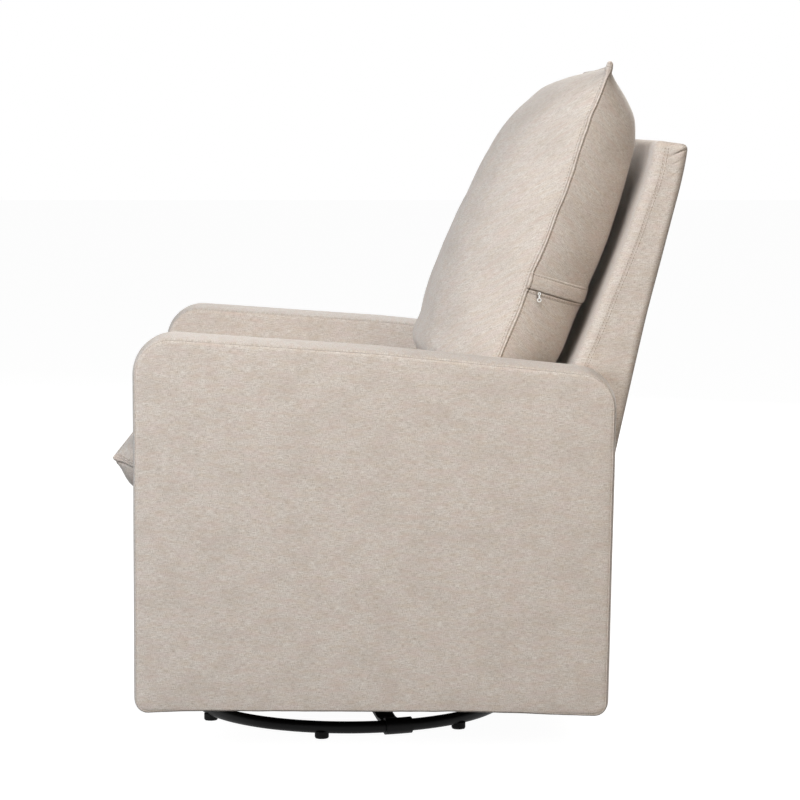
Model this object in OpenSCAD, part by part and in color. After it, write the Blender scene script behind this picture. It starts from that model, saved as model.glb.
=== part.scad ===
// Pillow-back glider nursery chair on a swivelling ring base.
// +Z is up, the front of the chair faces -Y, and the sitter's left is +X.
// The origin is on the floor, in the middle of the chair's width and depth.
// A ring base carries a ball race, the race turns a steel frame, and four
// hanging links carry the seat so that it glides level, to and fro.

/* [Arms] */
// Clear width between the two arms
seat_w = 550; // [520:5:600]
// Thickness of one arm, across the chair
arm_t = 120; // [100:2:140]
// Depth of an arm, front to rear
arm_depth = 724; // [700:2:760]
// Height of an arm's top at its front corner
arm_front_h = 639; // [620:1:670]
// How much lower an arm's top is at its rear corner
arm_drop = 51; // [30:1:70]
// Radius of an arm's two top corners
arm_top_r = 60; // [40:1:70]
// Radius of an arm's two bottom corners
arm_foot_r = 18; // [12:1:30]
// How much lower an arm's rear bottom corner is than its front one
arm_heel = 7; // [0:1:12]
// How far an arm's rear edge leans in at its foot
arm_rear_draft = 9; // [4:1:14]
// How far the padded edge strip crowns over its two seams
arm_crown = 7; // [4:0.5:10]
// Height of the upholstery's underside above the floor
under_h = 68; // [64:1:72]
// Padding over the arm's frame
arm_pad = 22; // [16:1:28]
// Width of the arm frame's members, seen from the side
arm_member = 46; // [36:1:56]

/* [Seat] */
// How far the seat cushion's nose stands out in front of the arms
nose_out = 36; // [20:1:50]
// Height of the seat deck, under the cushion
deck_h = 391; // [380:1:400]
// Height of the cushion's middle seam above the deck
cushion_seam_h = 55; // [45:1:60]
// Full thickness of the seat cushion
cushion_t = 108; // [96:1:116]
// How far the cushion's top and bottom faces sit in from its seam
cushion_taper = 30; // [20:1:36]
// Thickness of the deck pad over the springs
deck_pad_t = 15; // [10:1:20]
// How far the front apron sits behind the arms' front edge
apron_set = 14; // [8:1:24]
// Thickness of the padding on the front apron and the rear panel
apron_t = 13; // [8:1:18]

/* [Back] */
// Height of the back's top, at its rear edge
back_h = 911; // [880:1:940]
// Thickness of the back across its top
back_top_t = 50; // [40:1:60]
// Rise of the back's top from its rear edge to its front edge
back_top_rise = 6; // [3:1:10]
// Lean of the back's front face, degrees from upright
back_lean = 21.2; // [19:0.1:24]
// Lean of the back's rear face, degrees from upright
back_rear_lean = 12.7; // [11:0.1:14]
// Height at which the rear face begins to lean
back_bend_h = 415; // [400:1:430]
// Foam over the front of the back frame
back_foam = 20; // [14:1:26]
// Padding over the rear of the back frame
back_rear_pad = 8; // [5:1:12]

/* [Back pillow] */
// Length of the pillow's seam from its bottom to its top corner
pillow_l = 570; // [530:2:590]
// Height of the pillow's lowest seam point above the seat deck
pillow_lift = 121; // [120:1:150]
// Bulge of the pillow in front of its seam
pillow_front = 134; // [110:1:150]
// Bulge of the pillow behind its seam
pillow_rear = 101; // [95:1:110]
// Width of the band that hides the pillow's zip
placket_w = 25; // [18:1:32]
// Height of that band along the pillow's seam
placket_up = 207; // [190:1:240]

/* [Seat frame] */
// Thickness of the seat frame's side rails
side_rail_t = 24; // [18:1:28]
// Thickness of the front and rear rails
end_rail_t = 22; // [18:1:28]
// Height of the front and rear rails' lower edge above the upholstery's underside
end_rail_up = 34; // [20:1:60]
// Height of the two bearers that the glide mechanism hangs from
bearer_h = 40; // [30:1:50]
// Width of those bearers
bearer_w = 60; // [50:1:80]
// Thickness of the two plywood sides of the back frame
post_t = 22; // [18:1:25]
// Thickness of the rails that join those sides
back_rail_t = 20; // [16:1:24]
// Height of those rails
back_rail_h = 38; // [30:1:50]
// Width of an elastic band across the back frame
webbing_w = 56; // [40:1:70]
// Thickness of an elastic band
webbing_t = 2; // [1.5:0.1:3]
// Length of the corner blocks' legs
block_l = 62; // [40:1:80]

/* [Seat springs] */
// Number of sinuous springs
spring_n = 5; // [4:1:6]
// Spacing of the springs across the seat
spring_pitch = 88; // [70:1:88]
// Wire diameter of a spring
spring_wire = 3.6; // [3:0.1:4.2]
// Thickness of the steel strip that the spring clips are bent from
clip_t = 1.2; // [1:0.1:1.6]
// Half width of a spring's bends
spring_half_w = 22; // [16:1:26]
// Length of one full wave of a spring
spring_wave = 52; // [44:1:60]

/* [Ring base] */
// Outer diameter of the base ring
ring_d = 514; // [480:2:540]
// Diameter of the ring's tube
ring_tube = 19; // [16:0.5:22]
// Distance from the arms' front edge back to the swivel axis
swivel_set = 322; // [306:1:336]
// Height of a rubber foot below the ring
foot_h = 7.5; // [4:0.5:9]
// Diameter of a rubber foot
foot_d = 22; // [16:1:28]
// Angle between neighbouring feet in each half of the ring, in degrees
foot_angle = 54; // [46:1:60]
// Number of spokes
spoke_n = 3; // [3:1:4]
// Width of a spoke
spoke_w = 29; // [20:1:32]
// Thickness of a spoke
spoke_t = 5; // [4:0.5:6]
// Height of the hub plate's underside above the floor
hub_h = 51; // [48:1:54]
// Diameter of the hub plate
hub_d = 156; // [150:1:180]
// Thickness of the hub plate
hub_t = 5; // [4:0.5:6]
// Length of the sleeve that joins a spoke to the ring
sleeve_l = 43; // [32:1:50]
// Wall of that sleeve
sleeve_wall = 3; // [2:0.1:3.4]

/* [Ball race] */
// Diameter of the circle that the balls run on
race_d = 124; // [116:1:130]
// Diameter of a ball
ball_d = 8; // [7:0.5:9]
// Number of balls
ball_n = 16; // [12:1:20]
// Width of the two race rings
race_w = 22; // [18:1:24]
// Height of one race ring
race_h = 5; // [4.6:0.1:6]
// Diameter of the king bolt
king_d = 16; // [12:1:20]

/* [Glide mechanism] */
// Distance between a link's two pivots
link_l = 120; // [110:1:124]
// Width of a link
link_w = 24; // [22:1:28]
// Thickness of a link
link_t = 6; // [5:0.5:8]
// Half the distance between the front and rear links
link_half_gap = 120; // [115:1:130]
// Height of the links' upper pivots above the floor
pivot_h = 222; // [215:1:224]
// Distance from an arm's inner face in to the side plates' outer face
plate_set = 116; // [108:1:124]
// Clearance between the links' upper pivots and the wooden seat frame
frame_clear = 40; // [36:1:60]
// Thickness of the side plates and the carriage plates
plate_t = 4; // [3:0.5:5]
// Diameter of a pivot pin
pin_d = 12; // [10:0.5:12]
// Wall of a pivot bush
bush_wall = 3; // [2:0.5:3.5]
// Height of the turning frame's cross channels
channel_h = 22; // [16:1:24]
// Width of the turning frame's cross channels
channel_w = 40; // [30:1:50]
// Width of the carriage's hanging leg
leg_w = 84; // [60:2:90]
// Swing of the links, to either side, at which they meet the rubber stops
swing_max = 27; // [20:1:30]
// Radius of a rubber stop
stop_r = 6; // [5:0.5:8]
// Distance of the stops from the upper pivots, along a swung link
stop_down = 40; // [34:1:50]

/* [Fits] */
// Radial running clearance of a pin, bolt or shaft
run_gap = 0.05; // [0.03:0.01:0.1]
// Gap left between pieces that are seated or padded
seat_gap = 0.3; // [0.2:0.05:0.5]

/* [Hidden] */

// Fineness of round solids, and of the circles inside a hull.
fine = 64;
soft = 32;

// Depth of the chair, and the lines that follow from it.
back_reach = tan(back_rear_lean) * (back_h - back_bend_h);
depth = nose_out + arm_depth + back_reach;
nose_y = -depth / 2;
arm_front_y = nose_y + nose_out;
arm_rear_y = arm_front_y + arm_depth;
swivel_y = arm_front_y + swivel_set;
body_x = seat_w / 2 - seat_gap;

// Seat box, from the deck down.
spring_z = deck_h - deck_pad_t - clip_t - 2 * seat_gap - spring_wire / 2;
rail_top = spring_z - spring_wire / 2 - seat_gap;
front_rail_y = arm_front_y + apron_set + apron_t + seat_gap;
rear_rail_y = arm_rear_y - apron_t - seat_gap - end_rail_t;
inner_front_y = front_rail_y + end_rail_t;
side_in_x = body_x - side_rail_t;
mech_z = pivot_h + frame_clear;
side_rail_h = rail_top - mech_z;
rail_low = under_h + end_rail_up;
post_x = side_in_x - seat_gap;
plate_x = seat_w / 2 - plate_set;

// The back's front and rear faces, as functions of height.
back_front_top = back_h + back_top_rise;
function back_front_y(z) = depth / 2 - back_top_t - tan(back_lean) * (back_front_top - z);
function back_rear_y(z) =
    z < back_bend_h ? arm_rear_y : arm_rear_y + tan(back_rear_lean) * (z - back_bend_h);

// Back pillow: its own frame has Y along the seam, upwards, and Z along its front normal.
pillow_x = body_x - 2.7;
pillow_z = deck_h + pillow_lift;
pillow_y = back_front_y(pillow_z) - (pillow_rear + 2.9) / cos(back_lean);
pillow_mid_x = pillow_x * 0.934;
pillow_low_x = pillow_x * 0.875;
pillow_mid = pillow_rear * 0.72;
// Its levels, from rear to front: half width, then as shares of the seam's length the lower
// end, the upper end and the corner radius, and last the height above the seam.
pillow_levels = [
    [pillow_low_x, 0.05, 0.67, 0.07, -pillow_rear],
    [pillow_mid_x, 0.03, 0.86, 0.07, -pillow_mid],
    [pillow_x, 0, 1, 0.028, -0.5],
    [pillow_x * 0.905, 0.025, 0.86, 0.105, pillow_front * 0.62],
    [pillow_x * 0.84, 0.06, 0.78, 0.14, pillow_front * 0.8],
    [pillow_x * 0.67, 0.105, 0.55, 0.175, pillow_front - 1]];

// The pillow's zip, on its left side: strip sizes, and the slider's place.
placket_t = 1.8;
chain_t = 1.2;
chain_w = 6;
zip_set = 7;
slider_up = placket_up - chain_w / 2 - seat_gap;
slider_back = 24;
slider_low = seat_gap + chain_t + 0.3;
slider_t = 2;
post_r = 1;

// Ring base and ball race, from the floor up.
ring_r = ring_d / 2 - ring_tube / 2;
ring_z = foot_h + ring_tube / 2;
sleeve_r = ring_tube / 2 + seat_gap + sleeve_wall;
race_z = hub_h + spoke_t + hub_t;
ball_z = race_z + race_h + 2;
race_top = ball_z + 2 + race_h;
race_groove_r = ball_d / 2 + seat_gap;
plate_z = race_top;
channel_z = plate_z + plate_t;
king_r = king_d / 2;

// Glide mechanism: stack of side plate, link and carriage plate, outwards.
low_pivot_h = pivot_h - link_l;
pin_r = pin_d / 2;
bush_r = pin_r + run_gap + bush_wall;
bush_l = link_t + 5;
link_x = plate_x + 0.5 + bush_l / 2;
carriage_x = plate_x + 1 + bush_l;
head_t = 3;
flange_w = 44;
bolt_r = 4;
bolt_head_r = 9;
front_pivot_y = swivel_y - link_half_gap;
rear_pivot_y = swivel_y + link_half_gap;

// Draws a side-view outline, with X as depth and Y as height, from x0 to x1 across the chair.
module across(x0, x1) {
    translate([x0, 0, 0]) rotate([90, 0, 90]) linear_extrude(x1 - x0) children();
}

// Repeats its children on the left and, mirrored, on the right of the chair.
module both_sides() {
    children();
    mirror([1, 0, 0]) children();
}

// Repeats its children round the swivel axis.
module round_swivel(n, first = 0) {
    for (i = [0:n - 1])
        translate([0, swivel_y, 0]) rotate([0, 0, first + i * 360 / n]) children();
}

// A rod across the chair, from x0 to x1, through the point y, z.
module cross_rod(x0, x1, y, z, r) {
    translate([x0, y, z]) rotate([0, 90, 0]) cylinder(h = x1 - x0, r = r, $fn = fine);
}

// ---- Ring base ----

// First spoke, its sleeve, and the middle foot on the left, as angles from +X.
spoke_first = 15.6;
sleeve_first = 18.2;
foot_first = -9.6;

module ring_form(r) {
    translate([0, swivel_y, ring_z])
        rotate_extrude($fn = fine) translate([ring_r, 0]) circle(r = r, $fn = fine);
}

module base_ring() {
    color("#161616") ring_form(ring_tube / 2);
}

module rubber_feet() {
    sole = 2;
    color("#0d0d0d") difference() {
        for (half = [0, 180]) for (k = [-1:1])
            round_swivel(1, foot_first + half + k * foot_angle) translate([ring_r, 0, 0]) {
                cylinder(h = sole, r1 = foot_d / 2 - 1, r2 = foot_d / 2, $fn = fine);
                translate([0, 0, sole]) cylinder(h = foot_h + 1, r = foot_d / 2, $fn = fine);
            }
        ring_form(ring_tube / 2 + 0.1);
    }
}

module ring_sleeves() {
    color("#1c1c1c") difference() {
        intersection() {
            ring_form(sleeve_r);
            round_swivel(spoke_n, sleeve_first) translate([ring_r, 0, ring_z])
                cube([4 * sleeve_r, sleeve_l, 4 * sleeve_r], center = true);
        }
        ring_form(ring_tube / 2 + seat_gap);
    }
}

module base_spokes() {
    low = ring_z + ring_tube / 2 - spoke_t;
    knee = hub_d / 2 + 14;
    start = king_r + 14;
    level = ring_r - 1.5 * ring_tube;
    color("#1c1c1c") difference() {
        round_swivel(spoke_n, spoke_first) rotate([90, 0, 0])
            linear_extrude(spoke_w, center = true) polygon([
                [start, hub_h], [knee, hub_h], [level, low], [ring_r, low],
                [ring_r, low + spoke_t], [level + 1, low + spoke_t],
                [knee + 1, hub_h + spoke_t], [start, hub_h + spoke_t]]);
        ring_form(sleeve_r + run_gap);
    }
}

module hub_plate() {
    color("#1c1c1c") translate([0, swivel_y, hub_h + spoke_t]) difference() {
        cylinder(h = hub_t, r = hub_d / 2, $fn = fine);
        translate([0, 0, -1]) cylinder(h = hub_t + 2, r = king_r + run_gap, $fn = fine);
    }
}

// ---- Ball race ----

module race_ring(z) {
    color("#8f9295") difference() {
        translate([0, swivel_y, z]) rotate_extrude($fn = fine)
            translate([race_d / 2 - race_w / 2, 0]) square([race_w, race_h]);
        translate([0, swivel_y, ball_z]) rotate_extrude($fn = fine)
            translate([race_d / 2, 0]) circle(r = race_groove_r, $fn = fine);
    }
}

module lower_race() {
    race_ring(race_z);
}

module upper_race() {
    race_ring(race_top - race_h);
}

module race_balls() {
    color("#c9ccce") round_swivel(ball_n) translate([race_d / 2, 0, ball_z])
        sphere(d = ball_d, $fn = fine);
}

module ball_cage() {
    cage_t = 2 * (2 - seat_gap);
    color("#3a3a3c") difference() {
        translate([0, swivel_y, ball_z - cage_t / 2]) rotate_extrude($fn = fine)
            translate([race_d / 2 - ball_d * 0.9, 0]) square([ball_d * 1.8, cage_t]);
        round_swivel(ball_n) translate([race_d / 2, 0, ball_z - cage_t])
            cylinder(h = 2 * cage_t, d = ball_d + 2 * seat_gap, $fn = fine);
    }
}

module king_bolt() {
    color("#6d7073") translate([0, swivel_y, 0]) {
        translate([0, 0, hub_h + spoke_t - 8]) cylinder(h = 8, r = king_r * 1.6, $fn = 6);
        translate([0, 0, hub_h + spoke_t - 1])
            cylinder(h = channel_z + 14 - hub_h - spoke_t, r = king_r, $fn = fine);
    }
}

module king_nut() {
    color("#8f9295") translate([0, swivel_y, channel_z + seat_gap]) difference() {
        union() {
            cylinder(h = 2, r = king_r * 2, $fn = fine);
            translate([0, 0, 1]) cylinder(h = 9, r = king_r * 1.6, $fn = 6);
        }
        translate([0, 0, -1]) cylinder(h = 12, r = king_r + run_gap, $fn = fine);
    }
}

// ---- Turning frame ----

module swivel_plate() {
    half = hub_d / 2 + 16;
    corner = 14;
    color("#202022") translate([0, swivel_y, plate_z]) difference() {
        linear_extrude(plate_t) union() {
            square([2 * half, 2 * (half - corner)], center = true);
            square([2 * (half - corner), 2 * half], center = true);
            for (sx = [-1, 1], sy = [-1, 1])
                translate([sx * (half - corner), sy * (half - corner)])
                    circle(r = corner, $fn = fine);
        }
        translate([0, 0, -1]) cylinder(h = plate_t + 2, r = king_r + run_gap, $fn = fine);
    }
}

module cross_channels() {
    wall = 2.5;
    color("#202022") for (s = [-1, 1])
        translate([0, swivel_y + s * (king_r * 2 + 4 + channel_w / 2), channel_z])
            rotate([90, 0, 90]) linear_extrude(2 * (plate_x - plate_t), center = true)
                polygon([
                    [-channel_w / 2, 0], [channel_w / 2, 0], [channel_w / 2, channel_h],
                    [channel_w / 2 - wall, channel_h], [channel_w / 2 - wall, wall],
                    [-channel_w / 2 + wall, wall], [-channel_w / 2 + wall, channel_h],
                    [-channel_w / 2, channel_h]]);
}

// Side plate: a broad foot, a waist, and two ears that hold the upper pivots.
module side_plate_outline() {
    ear = link_w / 2 + 3;
    foot = king_r * 2 + 4 + channel_w;
    difference() {
        union() {
            polygon([
                [-foot, channel_z], [foot, channel_z], [foot, channel_z + channel_h + 8],
                [link_half_gap + ear, pivot_h - 6], [link_half_gap + ear * 0.6, pivot_h + ear * 0.8],
                [-link_half_gap - ear * 0.6, pivot_h + ear * 0.8],
                [-link_half_gap - ear, pivot_h - 6], [-foot, channel_z + channel_h + 8]]);
            for (s = [-1, 1]) translate([s * link_half_gap, pivot_h]) circle(r = ear, $fn = fine);
        }
        for (s = [-1, 1]) {
            translate([s * link_half_gap, pivot_h]) circle(r = pin_r + run_gap, $fn = fine);
            translate([s * 42, pivot_h - 42]) circle(r = 26, $fn = fine);
        }
    }
}

module side_plates() {
    color("#202022") both_sides() translate([0, swivel_y, 0])
        across(plate_x - plate_t, plate_x) side_plate_outline();
}

module upper_pins() {
    color("#9a9da0") both_sides() for (y = [front_pivot_y, rear_pivot_y]) {
        cross_rod(plate_x - plate_t - head_t, plate_x - plate_t, y, pivot_h, pin_r * 1.5);
        cross_rod(plate_x - plate_t - 1, carriage_x + 3, y, pivot_h, pin_r);
    }
}

module pin_clips() {
    color("#55585b") both_sides() for (y = [front_pivot_y, rear_pivot_y]) difference() {
        cross_rod(carriage_x, carriage_x + 1.5, y, pivot_h, pin_r * 1.5);
        cross_rod(carriage_x - 1, carriage_x + 3, y, pivot_h, pin_r + run_gap);
    }
}

// Rubber buffers on the side plates: the front links swing back on to the front pair, the
// rear links swing forward on to the rear pair.
module glide_stops() {
    off = link_w * 0.4 + stop_r + seat_gap;
    in_y = stop_down * sin(swing_max) + off * cos(swing_max);
    down_z = stop_down * cos(swing_max) - off * sin(swing_max);
    color("#111111") both_sides() for (s = [-1, 1]) {
        y = swivel_y + s * (link_half_gap - in_y);
        cross_rod(plate_x, plate_x + 2, y, pivot_h - down_z, stop_r + 1);
        cross_rod(plate_x + 1, link_x + link_t / 2, y, pivot_h - down_z, stop_r);
    }
}

// ---- Hanging links, with their bushes ----

module link(side, y) {
    color("#2a2a2c") translate([side * link_x, y, 0]) across(-link_t / 2, link_t / 2)
        difference() {
            union() {
                translate([-link_w * 0.4, low_pivot_h]) square([link_w * 0.8, link_l]);
                for (z = [low_pivot_h, pivot_h]) translate([0, z]) circle(d = link_w, $fn = fine);
            }
            for (z = [low_pivot_h, pivot_h])
                translate([0, z]) circle(r = bush_r + run_gap, $fn = fine);
        }
}

module bushes(side, y) {
    color("#d8d4c8") for (z = [low_pivot_h, pivot_h]) difference() {
        cross_rod(side * link_x - bush_l / 2, side * link_x + bush_l / 2, y, z, bush_r);
        cross_rod(side * link_x - bush_l, side * link_x + bush_l, y, z, pin_r + run_gap);
    }
}

module link_front_left() {
    link(1, front_pivot_y);
}

module link_rear_left() {
    link(1, rear_pivot_y);
}

module link_front_right() {
    link(-1, front_pivot_y);
}

module link_rear_right() {
    link(-1, rear_pivot_y);
}

module bushes_front_left() {
    bushes(1, front_pivot_y);
}

module bushes_rear_left() {
    bushes(1, rear_pivot_y);
}

module bushes_front_right() {
    bushes(-1, front_pivot_y);
}

module bushes_rear_right() {
    bushes(-1, rear_pivot_y);
}

// ---- Gliding carriage ----

// Carriage plate: a bar between the lower pivots, a leg, and a flange under the bearers.
module carriage_outline() {
    bar = link_w / 2 + 1;
    difference() {
        union() {
            translate([-link_half_gap, low_pivot_h - bar]) square([2 * link_half_gap, 2 * bar]);
            for (s = [-1, 1])
                translate([s * link_half_gap, low_pivot_h]) circle(r = bar, $fn = fine);
            polygon([
                [-leg_w / 2 - 14, low_pivot_h + bar - 1], [leg_w / 2 + 14, low_pivot_h + bar - 1],
                [leg_w / 2, low_pivot_h + bar + 24], [leg_w / 2, mech_z], [-leg_w / 2, mech_z],
                [-leg_w / 2, low_pivot_h + bar + 24]]);
        }
        for (s = [-1, 1])
            translate([s * link_half_gap, low_pivot_h]) circle(r = pin_r + run_gap, $fn = fine);
        translate([0, low_pivot_h + link_l / 2 + 6]) circle(r = leg_w * 0.26, $fn = fine);
    }
}

module carriage(side) {
    x0 = side > 0 ? carriage_x : -carriage_x - plate_t;
    flange_x0 = side > 0 ? carriage_x : -carriage_x - flange_w;
    color("#202022") translate([0, swivel_y, 0]) {
        across(x0, x0 + plate_t) carriage_outline();
        difference() {
            translate([flange_x0, -link_half_gap - bearer_w / 2, mech_z - plate_t])
                cube([flange_w, 2 * link_half_gap + bearer_w, plate_t]);
            for (s = [-1, 1])
                translate([flange_x0 + flange_w / 2, s * link_half_gap, mech_z - plate_t - 1])
                    cylinder(h = plate_t + 2, r = bolt_r + 0.3, $fn = fine);
        }
    }
}

module carriage_left() {
    carriage(1);
}

module carriage_right() {
    carriage(-1);
}

module lower_pins() {
    color("#9a9da0") both_sides() for (y = [front_pivot_y, rear_pivot_y]) {
        cross_rod(carriage_x + plate_t, carriage_x + plate_t + head_t, y, low_pivot_h, pin_r * 1.5);
        cross_rod(plate_x + 1, carriage_x + plate_t + 1, y, low_pivot_h, pin_r);
    }
}

module carriage_bolts() {
    color("#8f9295") both_sides() for (y = [front_pivot_y, rear_pivot_y])
        translate([carriage_x + flange_w / 2, y, mech_z - plate_t]) {
            translate([0, 0, -5]) cylinder(h = 5, r = bolt_head_r * 0.8, $fn = 6);
            translate([0, 0, -1]) cylinder(h = plate_t + bearer_h - 5, r = bolt_r, $fn = fine);
        }
}

// ---- Wooden seat frame ----

module bearers() {
    color("#c7a477") for (y = [front_pivot_y, rear_pivot_y]) difference() {
        translate([-side_in_x, y - bearer_w / 2, mech_z]) cube([2 * side_in_x, bearer_w, bearer_h]);
        for (s = [-1, 1]) translate([s * (carriage_x + flange_w / 2), y, mech_z - 1])
            cylinder(h = bearer_h - 5, r = bolt_r + run_gap, $fn = fine);
    }
}

module side_rails() {
    color("#cbaa7e") both_sides() difference() {
        translate([side_in_x, inner_front_y, mech_z])
            cube([side_rail_t, rear_rail_y - inner_front_y, side_rail_h]);
        for (y = arm_bolt_ys)
            cross_rod(side_in_x - 1, body_x + 1, y, arm_bolt_z, bolt_r + run_gap);
        for (z = back_bolt_zs)
            cross_rod(side_in_x - 1, body_x + 1, back_bolt_y, z, bolt_r + run_gap);
    }
}

// A board across the chair whose lower edge is arched up between its two ends.
module end_rail(y) {
    arch = 12;
    color("#cbaa7e") translate([0, y + end_rail_t, 0]) rotate([90, 0, 0])
        linear_extrude(end_rail_t) polygon([
            [-body_x, rail_low], [-body_x * 0.8, rail_low], [-body_x * 0.7, rail_low + arch],
            [body_x * 0.7, rail_low + arch], [body_x * 0.8, rail_low], [body_x, rail_low],
            [body_x, rail_top], [-body_x, rail_top]]);
}

module front_rail() {
    end_rail(front_rail_y);
}

module rear_rail() {
    end_rail(rear_rail_y);
}

module corner_blocks() {
    color("#b98f5e") both_sides() translate([side_in_x, inner_front_y, mech_z + 4])
        linear_extrude(side_rail_h - 8) polygon([[0, 0], [-block_l, 0], [0, block_l]]);
}

// ---- Seat springs ----

// A sinuous spring is one wire bent to and fro in a flat wave, run front to rear.
wave_steps = 8;
wire_sides = 5;
spring_y0 = front_rail_y + end_rail_t / 2;
spring_y1 = rear_rail_y + end_rail_t / 2;
wave_n = floor((spring_y1 - spring_y0) / spring_wave);
wave_fit = (spring_y1 - spring_y0) / wave_n;
function wave_x(a) = spring_half_w * sin(a) * 1.25 / sqrt(1 + 0.5625 * sin(a) * sin(a));
function wave_y(a) = wave_fit * (a / 360 - 0.05 * sin(2 * a));
function wire_point(i) =
    let (a = i * 360 / wave_steps) [wave_x(a), spring_y0 + wave_y(a)];
function wire_normal(i) =
    let (d = wire_point(i + 0.5) - wire_point(i - 0.5)) [-d[1], d[0]] / norm(d);

module spring(x) {
    rings = wave_n * wave_steps + 3;
    points = [for (i = [-1:rings - 2], k = [0:wire_sides - 1])
        let (
            p = wire_point(i), n = wire_normal(i),
            a = 90 + k * 360 / wire_sides, r = spring_wire / 2
        )
        [x + p[0] + r * cos(a) * n[0], p[1] + r * cos(a) * n[1], spring_z + r * sin(a)]];
    sides = [for (i = [0:rings - 2], k = [0:wire_sides - 1])
        let (j = (k + 1) % wire_sides)
        [i * wire_sides + k, (i + 1) * wire_sides + k, (i + 1) * wire_sides + j,
            i * wire_sides + j]];
    first_cap = [[for (k = [0:wire_sides - 1]) k]];
    last_cap = [[for (k = [wire_sides - 1:-1:0]) (rings - 1) * wire_sides + k]];
    polyhedron(points, concat(first_cap, last_cap, sides), convexity = 8);
}

module seat_springs() {
    color("#b7babd") for (i = [0:spring_n - 1]) spring((i - (spring_n - 1) / 2) * spring_pitch);
}

// A clip is a strip of steel bent into a bridge over the wire, with a foot on either side.
module clip_outline() {
    wide = spring_wire / 2 + 1.8;
    high = spring_wire + 2 * seat_gap;
    foot = 9.5;
    polygon([
        [-foot, 0], [-wide, 0], [-wide, high], [wide, high], [wide, 0], [foot, 0],
        [foot, clip_t], [wide + clip_t, clip_t], [wide + clip_t, high + clip_t],
        [-wide - clip_t, high + clip_t], [-wide - clip_t, clip_t], [-foot, clip_t]]);
}

module spring_clips() {
    strip_w = 8;
    color("#8f9295") for (i = [0:spring_n - 1], y = [spring_y0, spring_y1])
        translate([(i - (spring_n - 1) / 2) * spring_pitch, y, rail_top])
            across(-strip_w / 2, strip_w / 2) clip_outline();
}

// ---- Seat padding ----

module deck_pad() {
    y0 = arm_front_y + apron_set;
    y1 = back_front_y(deck_h - deck_pad_t) - seat_gap;
    color("#b5a896") translate([-body_x, y0, deck_h - deck_pad_t])
        cube([2 * body_x, y1 - y0, deck_pad_t]);
}

// An upholstered panel across the chair, rounded along its lower edge.
module apron(y, top) {
    edge = 3;
    color("#c6bbb1") across(-body_x, body_x) translate([y, under_h + edge]) hull() {
        translate([edge, edge]) circle(r = edge, $fn = soft);
        translate([apron_t - edge, edge]) circle(r = edge, $fn = soft);
        translate([0, 2 * edge]) square([apron_t, top - under_h - 3 * edge]);
    }
}

module front_apron() {
    apron(arm_front_y + apron_set, deck_h - deck_pad_t - seat_gap);
}

module rear_apron() {
    apron(arm_rear_y - apron_t, deck_h);
}

// ---- Back ----

cover_floor = deck_h + seat_gap;
post_front = back_foam + seat_gap + webbing_t + run_gap;
post_front_y = back_front_y(cover_floor) + post_front / cos(back_lean);
back_bolt_y = (post_front_y + rear_rail_y) / 2;
back_bolt_zs = [mech_z + side_rail_h * 0.28, mech_z + side_rail_h * 0.72];

// Side outline of the back between the deck and its top, drawn in by a front and a rear pad.
module back_outline(front, rear, low, high) {
    polygon([
        [back_front_y(low) + front / cos(back_lean), low],
        [back_front_y(back_front_top - high) + front / cos(back_lean), back_front_top - high],
        [back_rear_y(back_h - high) - rear / cos(back_rear_lean), back_h - high],
        [back_rear_y(back_bend_h) - rear, back_bend_h], [back_rear_y(low) - rear, low]]);
}

module back_cover() {
    color("#c6bbb1") difference() {
        across(-body_x, body_x) back_outline(0, 0, cover_floor, 0);
        across(-side_in_x, side_in_x)
            back_outline(back_foam, back_rear_pad, cover_floor - 1, back_foam);
    }
}

// Each plywood side of the back frame runs down beside a seat rail and is bolted to it.
module back_posts() {
    rear = back_rear_pad + seat_gap;
    color("#cbaa7e") both_sides() difference() {
        across(post_x - post_t, post_x) union() {
            back_outline(post_front, rear, cover_floor, back_foam + 1);
            polygon([
                [post_front_y, mech_z + 4], [rear_rail_y - seat_gap, mech_z + 4],
                [rear_rail_y - seat_gap, cover_floor + 1], [post_front_y, cover_floor + 1]]);
        }
        for (z = back_bolt_zs)
            cross_rod(post_x - post_t - 1, post_x + 1, back_bolt_y, z, bolt_r + run_gap);
    }
}

module back_rails() {
    half = post_x - post_t - run_gap;
    low = deck_h + back_rail_h * 0.8;
    high = back_h - back_foam - back_rail_h * 1.6;
    color("#c7a477") for (z = [low, (deck_h + back_h) / 2, high])
        translate([0, (back_front_y(z) + back_rear_y(z) + back_foam - back_rear_pad) / 2, z])
            rotate([-(back_lean + back_rear_lean) / 2, 0, 0])
                translate([-half, -back_rail_t / 2, 0])
                    cube([2 * half, back_rail_t, back_rail_h]);
}

// Elastic bands across the front edges of the plywood sides carry the back's foam.
module back_webbing() {
    lift = back_foam + seat_gap;
    low = deck_h + webbing_w * 1.6;
    high = back_h - back_foam - webbing_w * 1.54;
    color("#6b655c") for (i = [0:3]) {
        z = low + (high - low) * i / 3;
        translate([-post_x, back_front_y(z) + lift / cos(back_lean), z])
            rotate([-back_lean, 0, 0]) cube([2 * post_x, webbing_t, webbing_w]);
    }
}

module back_bolts() {
    color("#8f9295") both_sides() for (z = back_bolt_zs) {
        cross_rod(post_x - post_t - 5, post_x - post_t, back_bolt_y, z, bolt_head_r);
        cross_rod(post_x - post_t - 1, body_x - 4, back_bolt_y, z, bolt_r);
    }
}

// ---- Arms ----

arm_bolt_z = mech_z + side_rail_h / 2;
arm_bolt_ys = [(inner_front_y + block_l + front_pivot_y - bearer_w / 2) / 2, swivel_y,
    (rear_pivot_y + bearer_w / 2 + post_front_y) / 2];
frame_in = arm_pad + 2;

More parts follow.
